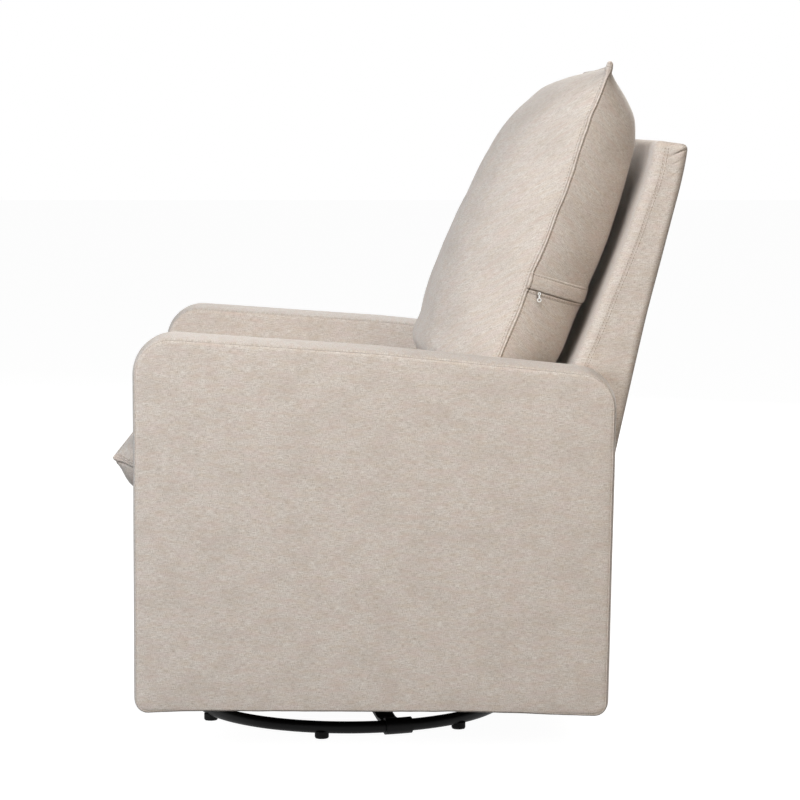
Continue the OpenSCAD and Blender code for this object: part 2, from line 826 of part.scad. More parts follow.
// Side outline of an arm: rounded top corners, a top that falls to the rear, small foot corners.
module arm_outline(inset) {
    top_rear = arm_front_h - arm_drop - arm_top_r;
    foot_r = max(arm_foot_r, inset + 2);
    bow = 5;
    hull() {
        translate([arm_front_y + arm_top_r, arm_front_h - arm_top_r])
            circle(r = arm_top_r - inset, $fn = 2 * soft);
        translate([(arm_front_y + arm_rear_y) / 2, (arm_front_h - arm_top_r + top_rear) / 2 + bow])
            circle(r = arm_top_r - inset, $fn = 2 * soft);
        translate([arm_rear_y - arm_top_r, top_rear])
            circle(r = arm_top_r - inset, $fn = 2 * soft);
        translate([arm_front_y + 2 + foot_r, under_h + foot_r])
            circle(r = foot_r - inset, $fn = soft);
        translate([arm_rear_y - arm_rear_draft - foot_r, under_h - arm_heel + foot_r])
            circle(r = foot_r - inset, $fn = soft);
    }
}

module arm_pad_form() {
    edge = arm_t * 0.22;
    x0 = seat_w / 2;
    difference() {
        hull() {
            across(x0, x0 + 1) arm_outline(arm_crown);
            across(x0 + edge, x0 + arm_t - edge) arm_outline(0);
            across(x0 + arm_t - 1, x0 + arm_t) arm_outline(arm_crown);
        }
        across(x0 + arm_pad, x0 + arm_t - arm_pad) arm_outline(frame_in);
        for (y = arm_bolt_ys) cross_rod(x0 - 1, x0 + arm_pad + 1, y, arm_bolt_z, bolt_r + seat_gap);
    }
}

module arm_pad_left() {
    color("#c6bbb1") arm_pad_form();
}

module arm_pad_right() {
    color("#c6bbb1") mirror([1, 0, 0]) arm_pad_form();
}

// Inside an arm: a plywood panel on the seat side, and a rim of wood members round its edge.
module arm_frame_form() {
    x0 = seat_w / 2 + arm_pad + seat_gap;
    x1 = seat_w / 2 + arm_t - arm_pad - seat_gap;
    panel = 12;
    difference() {
        across(x0, x1) arm_outline(frame_in + seat_gap);
        across(x0 + panel, x1 + 1) intersection() {
            arm_outline(frame_in + seat_gap);
            translate([arm_front_y + frame_in + arm_member, under_h + frame_in + arm_member])
                square([arm_depth - 2 * (frame_in + arm_member) - arm_rear_draft,
                    arm_front_h - arm_drop - under_h - 2 * (frame_in + arm_member)]);
        }
        for (y = arm_bolt_ys) cross_rod(x0 - 1, x0 + panel + 1, y, arm_bolt_z, bolt_r + run_gap);
    }
}

module arm_frame_left() {
    color("#c7a477") arm_frame_form();
}

module arm_frame_right() {
    color("#c7a477") mirror([1, 0, 0]) arm_frame_form();
}

module arm_bolts() {
    color("#8f9295") both_sides() for (y = arm_bolt_ys) {
        cross_rod(side_in_x - 5, side_in_x, y, arm_bolt_z, bolt_head_r);
        cross_rod(side_in_x - 1, seat_w / 2 + arm_pad + 12, y, arm_bolt_z, bolt_r);
    }
}

// ---- Loose cushions ----

// A plate with round corners, used as one level of a cushion.
module level(x, y0, y1, z, r) {
    translate([0, 0, z]) linear_extrude(1) hull()
        for (sx = [-1, 1], y = [y0 + r, y1 - r])
            translate([sx * (x - r), y]) circle(r = r, $fn = soft);
}

module seat_cushion() {
    base = deck_h + seat_gap;
    rear = back_front_y(base) - seat_gap;
    lean = back_front_y(base + cushion_seam_h) - back_front_y(base) - 4;
    x = pillow_x;
    color("#c6bbb1") hull() {
        level(x - 6, nose_y + cushion_taper, rear, base, 22);
        level(x, nose_y, rear + lean, base + cushion_seam_h - 0.5, 16);
        level(x - 12, nose_y + cushion_taper, rear, base + cushion_t - 16, 30);
        level(x - 70, nose_y + 110, rear - 60, base + cushion_t - 1, 60);
    }
}

module pillow_frame() {
    translate([0, pillow_y, pillow_z]) rotate([90 - back_lean, 0, 0]) children();
}

module back_pillow() {
    color("#d0c5ba") pillow_frame() hull() for (p = pillow_levels)
        level(p[0], p[1] * pillow_l, p[2] * pillow_l, p[4], p[3] * pillow_l);
}

// ---- Zip of the back pillow ----

// Cross-section of the pillow behind its seam, with X across and Y along its front normal.
module pillow_section() {
    polygon([
        [pillow_x, 0], [pillow_mid_x, -pillow_mid], [pillow_low_x, -pillow_rear],
        [-pillow_low_x, -pillow_rear], [-pillow_mid_x, -pillow_mid], [-pillow_x, 0]]);
}

// A strip that runs round the pillow's rear from its left seam to its right.
module zip_strip(low, high, thick) {
    pillow_frame() translate([0, high, 0]) rotate([90, 0, 0]) linear_extrude(high - low)
        difference() {
            offset(delta = seat_gap + thick) pillow_section();
            offset(delta = seat_gap) pillow_section();
            translate([-pillow_x - 20, -zip_set]) square([2 * pillow_x + 40, 40]);
        }
}

// Places its children on the pillow's left side, over the zip, with X outwards.
module on_zip(up, back) {
    slope = atan((pillow_x - pillow_mid_x) / pillow_mid);
    pillow_frame() translate([pillow_x - back * tan(slope), up, -back])
        rotate([0, slope, 0]) children();
}

module zip_placket() {
    color("#c6bbb1") zip_strip(placket_up, placket_up + placket_w, placket_t);
}

module zip_chain() {
    color("#d9d5cf") zip_strip(placket_up - chain_w - seat_gap, placket_up - seat_gap, chain_t);
}

module zip_slider() {
    color("#e4e4e2") on_zip(slider_up, slider_back) {
        translate([slider_low, 0, 0]) rotate([0, 90, 0]) linear_extrude(slider_t)
            polygon([[-5, -1.8], [-3, -2.7], [4, -1.7], [4, 1.7], [-3, 2.7], [-5, 1.8]]);
        translate([slider_low + slider_t - 0.5, 0, 0]) rotate([0, 90, 0])
            cylinder(h = 3, r = post_r, $fn = fine);
    }
}

// The pull hangs from the slider's post: an eye, a short neck and an open ring.
module zip_pull() {
    eye_r = 2.6;
    ring_r_out = 3.4;
    drop = 9.5;
    color("#eeeeec") on_zip(slider_up, slider_back)
        translate([slider_low + slider_t + 0.3, 0, 0]) rotate([back_lean, 0, 0]) rotate([0, 90, 0])
            linear_extrude(1.2) difference() {
                union() {
                    circle(r = eye_r, $fn = fine);
                    translate([-1.2, -drop]) square([2.4, drop]);
                    translate([0, -drop]) circle(r = ring_r_out, $fn = fine);
                }
                circle(r = post_r + run_gap, $fn = fine);
                translate([0, -drop]) circle(r = ring_r_out - 1.3, $fn = fine);
            }
}

base_ring();
rubber_feet();
ring_sleeves();
base_spokes();
hub_plate();
lower_race();
king_bolt();
king_nut();
ball_cage();
race_balls();
upper_race();
swivel_plate();
cross_channels();
side_plates();
upper_pins();
pin_clips();
glide_stops();
link_front_left();
link_rear_left();
link_front_right();
link_rear_right();
bushes_front_left();
bushes_rear_left();
bushes_front_right();
bushes_rear_right();
carriage_left();
carriage_right();
lower_pins();
carriage_bolts();
bearers();
side_rails();
front_rail();
rear_rail();
corner_blocks();
seat_springs();
spring_clips();
deck_pad();
front_apron();
rear_apron();
back_posts();
back_rails();
back_webbing();
back_cover();
back_bolts();
arm_frame_left();
arm_frame_right();
arm_pad_left();
arm_pad_right();
arm_bolts();
seat_cushion();
back_pillow();
zip_placket();
zip_chain();
zip_slider();
zip_pull();
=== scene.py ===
import math

import bmesh
import bpy
import numpy as np
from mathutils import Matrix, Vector, noise


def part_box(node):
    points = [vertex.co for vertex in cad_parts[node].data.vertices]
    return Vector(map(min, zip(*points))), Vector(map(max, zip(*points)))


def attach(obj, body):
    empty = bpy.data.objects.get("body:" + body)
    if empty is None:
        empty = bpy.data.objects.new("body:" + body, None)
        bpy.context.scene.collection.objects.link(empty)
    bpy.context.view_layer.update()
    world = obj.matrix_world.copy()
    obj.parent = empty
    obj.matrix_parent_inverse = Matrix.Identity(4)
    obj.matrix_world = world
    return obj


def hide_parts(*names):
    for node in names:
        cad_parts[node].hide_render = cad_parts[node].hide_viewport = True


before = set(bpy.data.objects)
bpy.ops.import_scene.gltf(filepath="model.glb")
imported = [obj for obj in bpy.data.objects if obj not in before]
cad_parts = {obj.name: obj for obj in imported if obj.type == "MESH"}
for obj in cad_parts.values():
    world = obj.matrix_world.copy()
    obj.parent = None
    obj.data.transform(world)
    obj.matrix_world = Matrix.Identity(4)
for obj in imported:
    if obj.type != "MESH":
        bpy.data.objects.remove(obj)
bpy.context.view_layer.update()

# ---- Camera ----
# Stands level with the back pillow, 4.5 m out on the sitter's left, and looks slightly down.

camera = bpy.data.objects.new("camera", bpy.data.cameras.new("camera"))
camera.data.lens = 125.2
camera.location = (4.5, -0.0265, 0.952)
camera.rotation_euler = Vector((-0.99505, 0.00677, -0.09915)).to_track_quat("-Z", "Y").to_euler()
bpy.context.scene.collection.objects.link(camera)
bpy.context.scene.camera = camera
bpy.context.scene.view_settings.view_transform = "Standard"


# ---- Floor and studio light ----
# A white floor under four soft boxes, in a white room that the camera sees, and that shiny
# metal and clear pieces reflect. The floor keeps a faint shadow of the chair.

def linear(hex_colour, alpha=1.0):
    """An sRGB colour such as #c8bcaf, as linear red, green, blue and alpha."""
    parts = [int(hex_colour[i:i + 2], 16) / 255 for i in (1, 3, 5)]
    return [c / 12.92 if c <= 0.04045 else ((c + 0.055) / 1.055) ** 2.4 for c in parts] + [alpha]


def add(tree, kind, links=(), **settings):
    """Adds a node. A setting whose name is a socket sets that socket; others set the node.
    links are (socket name or number, output socket)."""
    node = tree.nodes.new(kind)
    for key, value in settings.items():
        plain = key.replace("_", " ")
        socket = next((s for s in node.inputs if s.name.lower() == plain.lower()), None)
        if hasattr(node, key):
            setattr(node, key, value)
        elif socket:
            socket.default_value = value
        else:
            raise KeyError(f"{kind} has no {key}")
    for name, source in links:
        tree.links.new(source, node.inputs[name])
    return node


def new_material(name):
    """A node material with only its output: the material, its tree and the output."""
    made = bpy.data.materials.new(name)
    made.use_nodes = True
    made.node_tree.nodes.clear()
    return made, made.node_tree, made.node_tree.nodes.new("ShaderNodeOutputMaterial")


floor_material, tree, output = new_material("studio_floor_paint")
ray = add(tree, "ShaderNodeLightPath")
seen = add(tree, "ShaderNodeMath", [(0, ray.outputs["Is Camera Ray"]),
                                    (1, ray.outputs["Is Glossy Ray"])], operation="MAXIMUM")
lift = add(tree, "ShaderNodeMath", [(0, seen.outputs[0])], operation="MULTIPLY")
lift.inputs[1].default_value = 0.97
paint = add(tree, "ShaderNodeBsdfDiffuse", Color=linear("#828282"))
glow = add(tree, "ShaderNodeEmission", [("Strength", lift.outputs[0])])
both = add(tree, "ShaderNodeAddShader", [(0, paint.outputs[0]), (1, glow.outputs[0])])
tree.links.new(both.outputs[0], output.inputs["Surface"])

FLOOR_HALF = 30.0
floor_mesh = bpy.data.meshes.new("studio_floor")
floor_mesh.from_pydata([(x * FLOOR_HALF, y * FLOOR_HALF, 0) for x, y in
                        ((-1, -1), (1, -1), (1, 1), (-1, 1))], [], [(0, 1, 2, 3)])
floor_mesh.materials.append(floor_material)
floor = bpy.data.objects.new("studio_floor", floor_mesh)
bpy.context.scene.collection.objects.link(floor)

world = bpy.data.worlds.new("studio")
bpy.context.scene.world = world
world.use_nodes = True
world.node_tree.nodes.clear()
room = world.node_tree
ray = add(room, "ShaderNodeLightPath")
shown = add(room, "ShaderNodeMath", [(0, ray.outputs["Is Camera Ray"]),
                                     (1, ray.outputs["Is Transmission Ray"])], operation="MAXIMUM")
shown = add(room, "ShaderNodeMath", [(0, shown.outputs[0]),
                                     (1, ray.outputs["Is Glossy Ray"])], operation="MAXIMUM")
strength = add(room, "ShaderNodeMapRange", [("Value", shown.outputs[0])], To_Min=0.03, To_Max=1.0)
white = add(room, "ShaderNodeBackground", [("Strength", strength.outputs[0])],
            Color=linear("#ffffff"))
add(room, "ShaderNodeOutputWorld", [("Surface", white.outputs[0])])


def soft_box(name, place, aim, size, watts, tint):
    """A square area lamp that shines from place towards aim."""
    lamp = bpy.data.lights.new(name, "AREA")
    lamp.size, lamp.energy, lamp.color = size, watts, linear(tint)[:3]
    held = bpy.data.objects.new(name, lamp)
    held.location = place
    held.rotation_euler = (Vector(aim) - Vector(place)).to_track_quat("-Z", "Y").to_euler()
    bpy.context.scene.collection.objects.link(held)


soft_box("key_light", (2.8, -3.4, 1.9), (0, 0, 0.5), 1.8, 104, "#f0f7ff")
soft_box("side_light", (2.3, -0.2, 2.9), (0, 0, 0.5), 1.0, 61, "#fffdfb")
soft_box("fill_light", (3.4, 1.4, 2.4), (0, 0, 0.5), 2.0, 40, "#fff0dc")
soft_box("far_light", (-3.6, 1.6, 2.4), (0, 0, 0.5), 2.4, 140, "#fffdfa")

# ---- Ring base ----
# A ring of round steel tube, three flat spokes to a hub plate, and a sleeve over the ring where
# each spoke is welded on, all powder coated black. Six rubber feet are pressed on under the ring.

MM = 0.001


def dress(material, *nodes):
    """Gives parts of the frame their finish."""
    for node in nodes:
        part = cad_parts[node]
        part.data.materials.clear()
        part.data.materials.append(material)


def grain(tree, size, detail=2.0, stretch=(1, 1, 1), centre=(0, 0, 0)):
    """A noise over the part with features of that size in metres, drawn out by stretch."""
    place = add(tree, "ShaderNodeTexCoord")
    fitted = add(tree, "ShaderNodeMapping", [("Vector", place.outputs["Object"])],
                 Location=centre, Scale=[1 / (size * s) for s in stretch])
    return add(tree, "ShaderNodeTexNoise", [("Vector", fitted.outputs[0])],
               Scale=1.0, Detail=detail, Roughness=0.6)


def between(tree, low, high, value):
    """A colour that runs from one hex colour to another as value goes from 0.3 to 0.7."""
    ramp = add(tree, "ShaderNodeValToRGB", [("Fac", value)])
    first, last = ramp.color_ramp.elements
    first.position, first.color = 0.3, linear(low)
    last.position, last.color = 0.7, linear(high)
    return ramp.outputs[0]


def roughened(tree, value, low, high):
    """A roughness that runs from low to high with value."""
    return add(tree, "ShaderNodeMapRange", [("Value", value)],
               From_Min=0.3, From_Max=0.7, To_Min=low, To_Max=high).outputs[0]


def bumped(tree, height, strength, distance):
    """The normals of a relief of that height, scaled to distance metres."""
    return add(tree, "ShaderNodeBump", [("Height", height)], Strength=strength,
               Distance=distance).outputs[0]


def skinned(tree, output, colour, normal, links=(), **shader):
    """Gives the material its surface, of that colour and with those normals."""
    skin = add(tree, "ShaderNodeBsdfPrincipled",
               [("Base Color", colour), ("Normal", normal), *links], **shader)
    tree.links.new(skin.outputs[0], output.inputs["Surface"])


def surfaced(name, colours, roughness, relief, patch, stretch=(1, 1, 1), **shader):
    """A material whose colour and roughness drift over patch metres, with a fine relief given
    as (size, height) in metres. stretch draws both out, as brushing or grain does."""
    made, tree, output = new_material(name)
    drift = grain(tree, patch, stretch=stretch)
    size, height = relief
    fine = grain(tree, size, stretch=stretch)
    skinned(tree, output, between(tree, *colours, drift.outputs[0]),
            bumped(tree, fine.outputs[0], 0.6, height),
            [("Roughness", roughened(tree, drift.outputs[0], *roughness))], **shader)
    return made


# Polyester powder baked on steel: near black and satin, with the orange peel of powder that has
# flowed. It gives broad soft highlights. The peel is 1.5 mm across, drawn at 3 mm.
powder_coat = surfaced("black_powder_coat", ("#060607", "#0a0a0b"), (0.42, 0.52),
                       (3 * MM, 0.06 * MM), 60 * MM, IOR=1.5, Specular_IOR_Level=0.15)
dress(powder_coat, "base_ring", "ring_sleeves", "base_spokes", "hub_plate")

# Moulded rubber: dull black with a fine stipple from the mould.
moulded_rubber = surfaced("moulded_black_rubber", ("#070707", "#0b0b0b"), (0.7, 0.82),
                          (1.2 * MM, 0.05 * MM), 15 * MM, IOR=1.52, Specular_IOR_Level=0.2)
dress(moulded_rubber, "rubber_feet")


# ---- Ball race ----
# Sixteen steel balls in a nylon cage run between two grooved steel rings, so that the chair
# turns. The king bolt under the hub plate holds it all together with a lock nut.

# Turned steel: bright, with fine rings from the lathe round the chair's axis, 0.5 mm apart and
# drawn 1.5 mm apart.
turned_steel, tree, output = new_material("turned_race_steel")
low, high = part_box("lower_race")
place = add(tree, "ShaderNodeTexCoord")
centred = add(tree, "ShaderNodeMapping", [("Vector", place.outputs["Object"])],
              Location=(0, -(low.y + high.y) / 2, 0))
rings = add(tree, "ShaderNodeTexWave", [("Vector", centred.outputs[0])], wave_type="RINGS",
            rings_direction="Z", Scale=math.tau / (20 * 1.5 * MM), Distortion=0.4,
            Detail=1.0, Detail_Scale=2.0)
drift = grain(tree, 30 * MM)
skinned(tree, output, between(tree, "#8d9093", "#a5a8aa", drift.outputs[0]),
        bumped(tree, rings.outputs["Fac"], 0.3, 0.05 * MM),
        [("Roughness", roughened(tree, drift.outputs[0], 0.26, 0.36))], Metallic=1.0)
dress(turned_steel, "lower_race", "upper_race")

# Polished bearing steel: a hard mirror with a light film of grease.
ball_steel = surfaced("polished_ball_steel", ("#c9ccd0", "#dcdfe2"), (0.06, 0.16),
                      (0.8 * MM, 0.004 * MM), 4 * MM, Metallic=1.0)
dress(ball_steel, "race_balls")

# Moulded nylon, black: a soft sheen over a faint mould texture.
black_nylon = surfaced("moulded_black_nylon", ("#29292b", "#343437"), (0.42, 0.55),
                       (1.5 * MM, 0.04 * MM), 20 * MM, IOR=1.53)
dress(black_nylon, "ball_cage")

# Bright zinc plate: silvery and slightly cloudy, as plated bolts and pins are.
zinc_plate = surfaced("bright_zinc_plate", ("#a3a8ac", "#bcc0c2"), (0.24, 0.38),
                      (1.6 * MM, 0.02 * MM), 6 * MM, Metallic=1.0)
dress(zinc_plate, "king_bolt", "king_nut")


# ---- Turning frame and glide links ----
# A steel plate, two cross channels and two side plates turn on the race. Four flat
# links hang from clipped pins in nylon bushes and carry the seat's carriages; a link stops
# against a rubber buffer at each end of the glide.

dress(powder_coat, "swivel_plate", "cross_channels", "side_plates", "link_front_left",
      "link_rear_left", "link_front_right", "link_rear_right", "carriage_left", "carriage_right")
dress(zinc_plate, "upper_pins", "pin_clips", "lower_pins", "carriage_bolts")
dress(moulded_rubber, "glide_stops")

# Moulded nylon, natural: milky ivory, waxy and slightly glossy.
ivory_nylon = surfaced("moulded_ivory_nylon", ("#d2cdbd", "#e2ddd0"), (0.32, 0.42),
                       (1.5 * MM, 0.02 * MM), 12 * MM, IOR=1.53, Subsurface_Weight=0.1,
                       Subsurface_Scale=0.003)
dress(ivory_nylon, "bushes_front_left", "bushes_rear_left", "bushes_front_right",
      "bushes_rear_right")


# ---- Seat frame ----
# Sawn hardwood rails and bearers, glued and screwed at their corners, with plywood sides for
# the back and the arms, bolted together. Rubberised bands close the back.

def sawn_wood(name, along):
    """Sawn rubberwood: pale straw, with grain 1.6 mm apart along the board, short darker pores
    and slow bands, and the dull face that a planer leaves. along is the board's axis, 0 to 2."""
    made, tree, output = new_material(name)
    stretch = [1.0, 1.0, 1.0]
    stretch[along] = 22.0
    bands = grain(tree, 14 * MM, 3.0, stretch)
    lines = grain(tree, 1.6 * MM, 2.0, stretch)
    mixed = add(tree, "ShaderNodeMix", [(2, bands.outputs[0]), (3, lines.outputs[0])], Factor=0.45)
    skinned(tree, output, between(tree, "#a98557", "#d9bb90", mixed.outputs[0]),
            bumped(tree, lines.outputs[0], 0.5, 0.12 * MM), Roughness=0.62, IOR=1.45)
    return made


dress(sawn_wood("sawn_rubberwood_across", 0), "front_rail", "rear_rail", "back_rails", "bearers")
dress(sawn_wood("sawn_rubberwood_along", 1), "side_rails", "corner_blocks")

# Birch plywood: 1.5 mm plies of changing grain, drawn 2 mm thick, seen as stripes on its edges.
plywood, tree, output = new_material("birch_plywood")
place = add(tree, "ShaderNodeTexCoord")
apart = add(tree, "ShaderNodeSeparateXYZ", [("Vector", place.outputs["Object"])])
ply = add(tree, "ShaderNodeMath", [(0, apart.outputs[0])], operation="PINGPONG")
ply.inputs[1].default_value = 2 * MM
step = add(tree, "ShaderNodeMath", [(0, ply.outputs[0])], operation="GREATER_THAN")
step.inputs[1].default_value = 1 * MM
figure = grain(tree, 9 * MM, 3.0, (1, 1, 12))
mixed = add(tree, "ShaderNodeMix", [(2, step.outputs[0]), (3, figure.outputs[0])], Factor=0.72)
skinned(tree, output, between(tree, "#b08e60", "#dcc49c", mixed.outputs[0]),
        bumped(tree, figure.outputs[0], 0.4, 0.08 * MM), Roughness=0.6, IOR=1.45)
dress(plywood, "back_posts", "arm_frame_left", "arm_frame_right")

dress(zinc_plate, "back_bolts", "arm_bolts")

# Elastic webbing: rubber and polypropylene woven into a band, charcoal with paler stripes that
# run along it, 6 mm apart, and ribs across it 2.5 mm apart.
webbing, tree, output = new_material("woven_elastic_webbing")
place = add(tree, "ShaderNodeTexCoord")
apart = add(tree, "ShaderNodeSeparateXYZ", [("Vector", place.outputs["Object"])])
waves = []
for axis, pitch in ((2, 6 * MM), (0, 2.5 * MM)):
    turn = add(tree, "ShaderNodeMath", [(0, apart.outputs[axis])], operation="MULTIPLY")
    turn.inputs[1].default_value = math.tau / pitch
    waves.append(add(tree, "ShaderNodeMath", [(0, turn.outputs[0])], operation="SINE"))
stripe = add(tree, "ShaderNodeMapRange", [("Value", waves[0].outputs[0])],
             From_Min=-1.0, From_Max=1.0)
skinned(tree, output, between(tree, "#45413c", "#8d867b", stripe.outputs[0]),
        bumped(tree, waves[1].outputs[0], 0.6, 0.3 * MM), Roughness=0.85)
dress(webbing, "back_webbing")


# ---- Seat springs ----
# Zigzag springs of hard-drawn wire run from the front rail to the rear rail under the deck. A
# bent steel clip holds each end.

# Hard-drawn spring wire: grey, with a drawn lustre along it and a film of oil.
spring_wire = surfaced("hard_drawn_spring_wire", ("#8f9397", "#c0c3c6"), (0.24, 0.4),
                       (1.2 * MM, 0.03 * MM), 9 * MM, Metallic=1.0)
dress(spring_wire, "seat_springs")
dress(zinc_plate, "spring_clips")


# ---- Deck and aprons ----
# The padded deck under the cushion, the board below it at the front, and the outside back below
# the deck: foam and linen pulled over the rails and stapled, with soft edges.

def heathered_linen(name):
    """Heathered linen-look polyester in a plain weave: matt, with a faint fibre sheen, light and
    dark slubs along both threads, and broad mottling. Real threads are 0.6 mm apart; they are
    drawn 2 mm apart so that they show. The piece's UV map holds the cloth in metres."""
    made, tree, output = new_material(name)
    cloth = add(tree, "ShaderNodeUVMap", uv_map="cloth")
    tints = []
    for label, along, across, seed in (("weft", 9.5, 0.85, 3.1), ("warp", 0.8, 6.5, 7.7),
                                       ("fibre", 1.7, 1.1, 5.3)):
        drawn = add(tree, "ShaderNodeMapping", [("Vector", cloth.outputs[0])], label=label,
                    Location=(seed, seed, 0), Scale=(1 / (along * MM), 1 / (across * MM), 1))
        tints.append(add(tree, "ShaderNodeTexNoise", [("Vector", drawn.outputs[0])],
                         noise_dimensions="2D", Scale=1.0, Detail=1.5, Roughness=0.55))
    threads = add(tree, "ShaderNodeMix", [(2, tints[0].outputs[0]), (3, tints[1].outputs[0])],
                  Factor=0.4)
    slubs = add(tree, "ShaderNodeMix", [(2, threads.outputs[0]), (3, tints[2].outputs[0])],
                Factor=0.36)
    shade = add(tree, "ShaderNodeMapRange", [("Value", slubs.outputs[0])],
                From_Min=0.345, From_Max=0.655)
    yarn = add(tree, "ShaderNodeValToRGB", [("Fac", shade.outputs[0])])
    stops = yarn.color_ramp.elements
    stops[0].position, stops[0].color = 0.0, linear("#ada196")
    stops[1].position, stops[1].color = 1.0, linear("#e1dcd5")
    stops.new(0.5).color = linear("#cfc7bf")
    mottled = yarn.outputs[0]
    for hue, wide, tall, most in (("#c2a98c", 26, 7, 0.24), ("#cdb4b0", 38, 11, 0.24),
                                  ("#a99c90", 60, 45, 0.18)):
        spread = add(tree, "ShaderNodeMapping", [("Vector", cloth.outputs[0])],
                     Scale=(1 / (wide * MM), 1 / (tall * MM), 1))
        patches = add(tree, "ShaderNodeTexNoise", [("Vector", spread.outputs[0])],
                      noise_dimensions="2D", Scale=1.0, Detail=2.0, Roughness=0.6)
        amount = add(tree, "ShaderNodeMapRange", [("Value", patches.outputs[0])],
                     From_Min=0.42, From_Max=0.72, To_Min=0.0, To_Max=most)
        mix = add(tree, "ShaderNodeMix", [("Factor", amount.outputs[0])], data_type="RGBA")
        tree.links.new(mottled, mix.inputs[6])
        mix.inputs[7].default_value = linear(hue)
        mottled = mix.outputs[2]
    weave = add(tree, "ShaderNodeMapping", [("Vector", cloth.outputs[0])],
                Scale=(math.tau / (2 * MM), math.tau / (2 * MM), 1))
    split = add(tree, "ShaderNodeSeparateXYZ", [("Vector", weave.outputs[0])])
    over = add(tree, "ShaderNodeMath", [(0, split.outputs[0])], operation="SINE")
    under = add(tree, "ShaderNodeMath", [(0, split.outputs[1])], operation="SINE")
    cross = add(tree, "ShaderNodeMath", [(0, over.outputs[0]), (1, under.outputs[0])],
                operation="MULTIPLY")
    relief = add(tree, "ShaderNodeMath", [(0, cross.outputs[0]), (2, shade.outputs[0])],
                 operation="MULTIPLY_ADD")
    relief.inputs[1].default_value = 0.12
    skinned(tree, output, mottled, bumped(tree, relief.outputs[0], 0.4, 0.2 * MM),
            Roughness=0.9, IOR=1.5, Specular_IOR_Level=0.22, Sheen_Weight=0.3,
            Sheen_Roughness=0.45)
    return made


linen = heathered_linen("oatmeal_linen_weave")


def sheet(points, cloth, wrap=False):
    """Faces over a grid of points, rows by columns by 3, with its cloth map in metres. wrap
    joins the last column to the first; the cloth then has one column more than the points."""
    rows, columns = points.shape[:2]
    faces, maps = [], []
    for r in range(rows - 1):
        for c in range(columns if wrap else columns - 1):
            d = (c + 1) % columns
            faces.append((r * columns + c, r * columns + d, (r + 1) * columns + d,
                          (r + 1) * columns + c))
            maps.append([cloth[r][c], cloth[r][c + 1], cloth[r + 1][c + 1], cloth[r + 1][c]])
    return points.reshape(-1, 3), faces, maps


def sewn(name, sheets, material, join=0.05 * MM):
    """One object of several sheets, sewn where their edges meet, facing outwards."""
    places, faces, maps = [], [], []
    for points, quads, cloth in sheets:
        first = sum(len(p) for p in places)
        places.append(points)
        faces += [tuple(first + v for v in quad) for quad in quads]
        maps += cloth
    mesh = bpy.data.meshes.new(name)
    mesh.from_pydata(np.concatenate(places).tolist(), [], faces)
    layer = mesh.uv_layers.new(name="cloth")
    layer.data.foreach_set("uv", np.array(maps, float).reshape(-1))
    work = bmesh.new()
    work.from_mesh(mesh)
    bmesh.ops.remove_doubles(work, verts=work.verts, dist=join)
    bmesh.ops.dissolve_degenerate(work, edges=work.edges, dist=join / 10)
    bmesh.ops.recalc_face_normals(work, faces=work.faces)
    work.to_mesh(mesh)
    work.free()
    mesh.shade_smooth()
    mesh.materials.append(material)
    made = bpy.data.objects.new(name, mesh)
    bpy.context.scene.collection.objects.link(made)
    return made


def upholster(made, node):
    """The piece stands for a padded part of the seat."""
    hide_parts(node)
    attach(made, "seat")
    return made


def rolled_outline(circles, step):
    """The line round several circles (y, z, radius) as a band would run, in steps of about
    step: points, outward directions and the distance run."""
    turns = np.linspace(0, math.tau, 1441)[:-1]
    out = np.stack([np.cos(turns), np.sin(turns)], 1)
    rings = np.array(circles, float)
    reach = out @ rings[:, :2].T + rings[:, 2]
    best = reach.argmax(1)
    places = rings[best, :2] + out * rings[best, 2:]
    closed = np.vstack([places, places[:1]])
    run = np.concatenate([[0], np.cumsum(np.linalg.norm(np.diff(closed, axis=0), axis=1))])
    count = int(round(run[-1] / step))
    at = np.arange(count) * run[-1] / count
    points = np.stack([np.interp(at, run, closed[:, k]) for k in (0, 1)], 1)
    facing = np.stack([np.interp(at, run, np.append(out[:, k], out[0, k])) for k in (0, 1)], 1)
    facing /= np.linalg.norm(facing, axis=1)[:, None]
    return points, facing, np.append(at, run[-1])


def ripple(points, size, seed):
    """A smooth random value from about -1 to 1 at each point, with waves of that size."""
    return np.array([noise.noise(Vector(p) / size + Vector((seed, seed * 0.7, -seed)))
                     for p in points.reshape(-1, 3)]).reshape(points.shape[:-1])


def padded_board(name, node, edge, swell):
    """A flat padded panel across the chair, with its edges rounded by edge."""
    low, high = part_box(node)
    circles = [(y, z, edge) for y in (low.y + edge, high.y - edge)
               for z in (low.z + edge, high.z - edge)]
    line, facing, run = rolled_outline(circles, 6 * MM)
    turns = np.linspace(0, math.pi / 2, 6)[::-1]
    stations = [(low.x + edge * (1 - math.sin(a)), edge * (1 - math.cos(a))) for a in turns]
    stations += [(x, 0.0) for x in np.linspace(low.x + edge, high.x - edge, 42)[1:-1]]
    stations += [(-x, inset) for x, inset in stations[5::-1]]
    rows = np.zeros((len(stations), len(line), 3))
    for r, (x, inset) in enumerate(stations):
        rows[r, :, 0] = x
        rows[r, :, 1:] = line - inset * facing
    rows[..., 1:] += (ripple(rows, 0.10, 6.0) * swell)[..., None] * facing[None]
    thin = min(high.y - low.y, high.z - low.z) / 2
    caps = []
    for r in (0, -1):
        cap = rows[[r, r]].copy()
        cap[1, :, 1:] = np.clip(cap[1, :, 1:], [low.y + thin, low.z + thin],
                                [high.y - thin, high.z - thin])
        caps.append(cap)
    cloth = [[(x, r) for r in run] for x, _ in stations]
    flat = [[(p[1], p[2]) for p in row] + [(row[0][1], row[0][2])] for row in caps[0]]
    sheets = [sheet(rows, cloth, wrap=True)] + [sheet(cap, flat, wrap=True) for cap in caps]
    return upholster(sewn(name, sheets, linen), node)


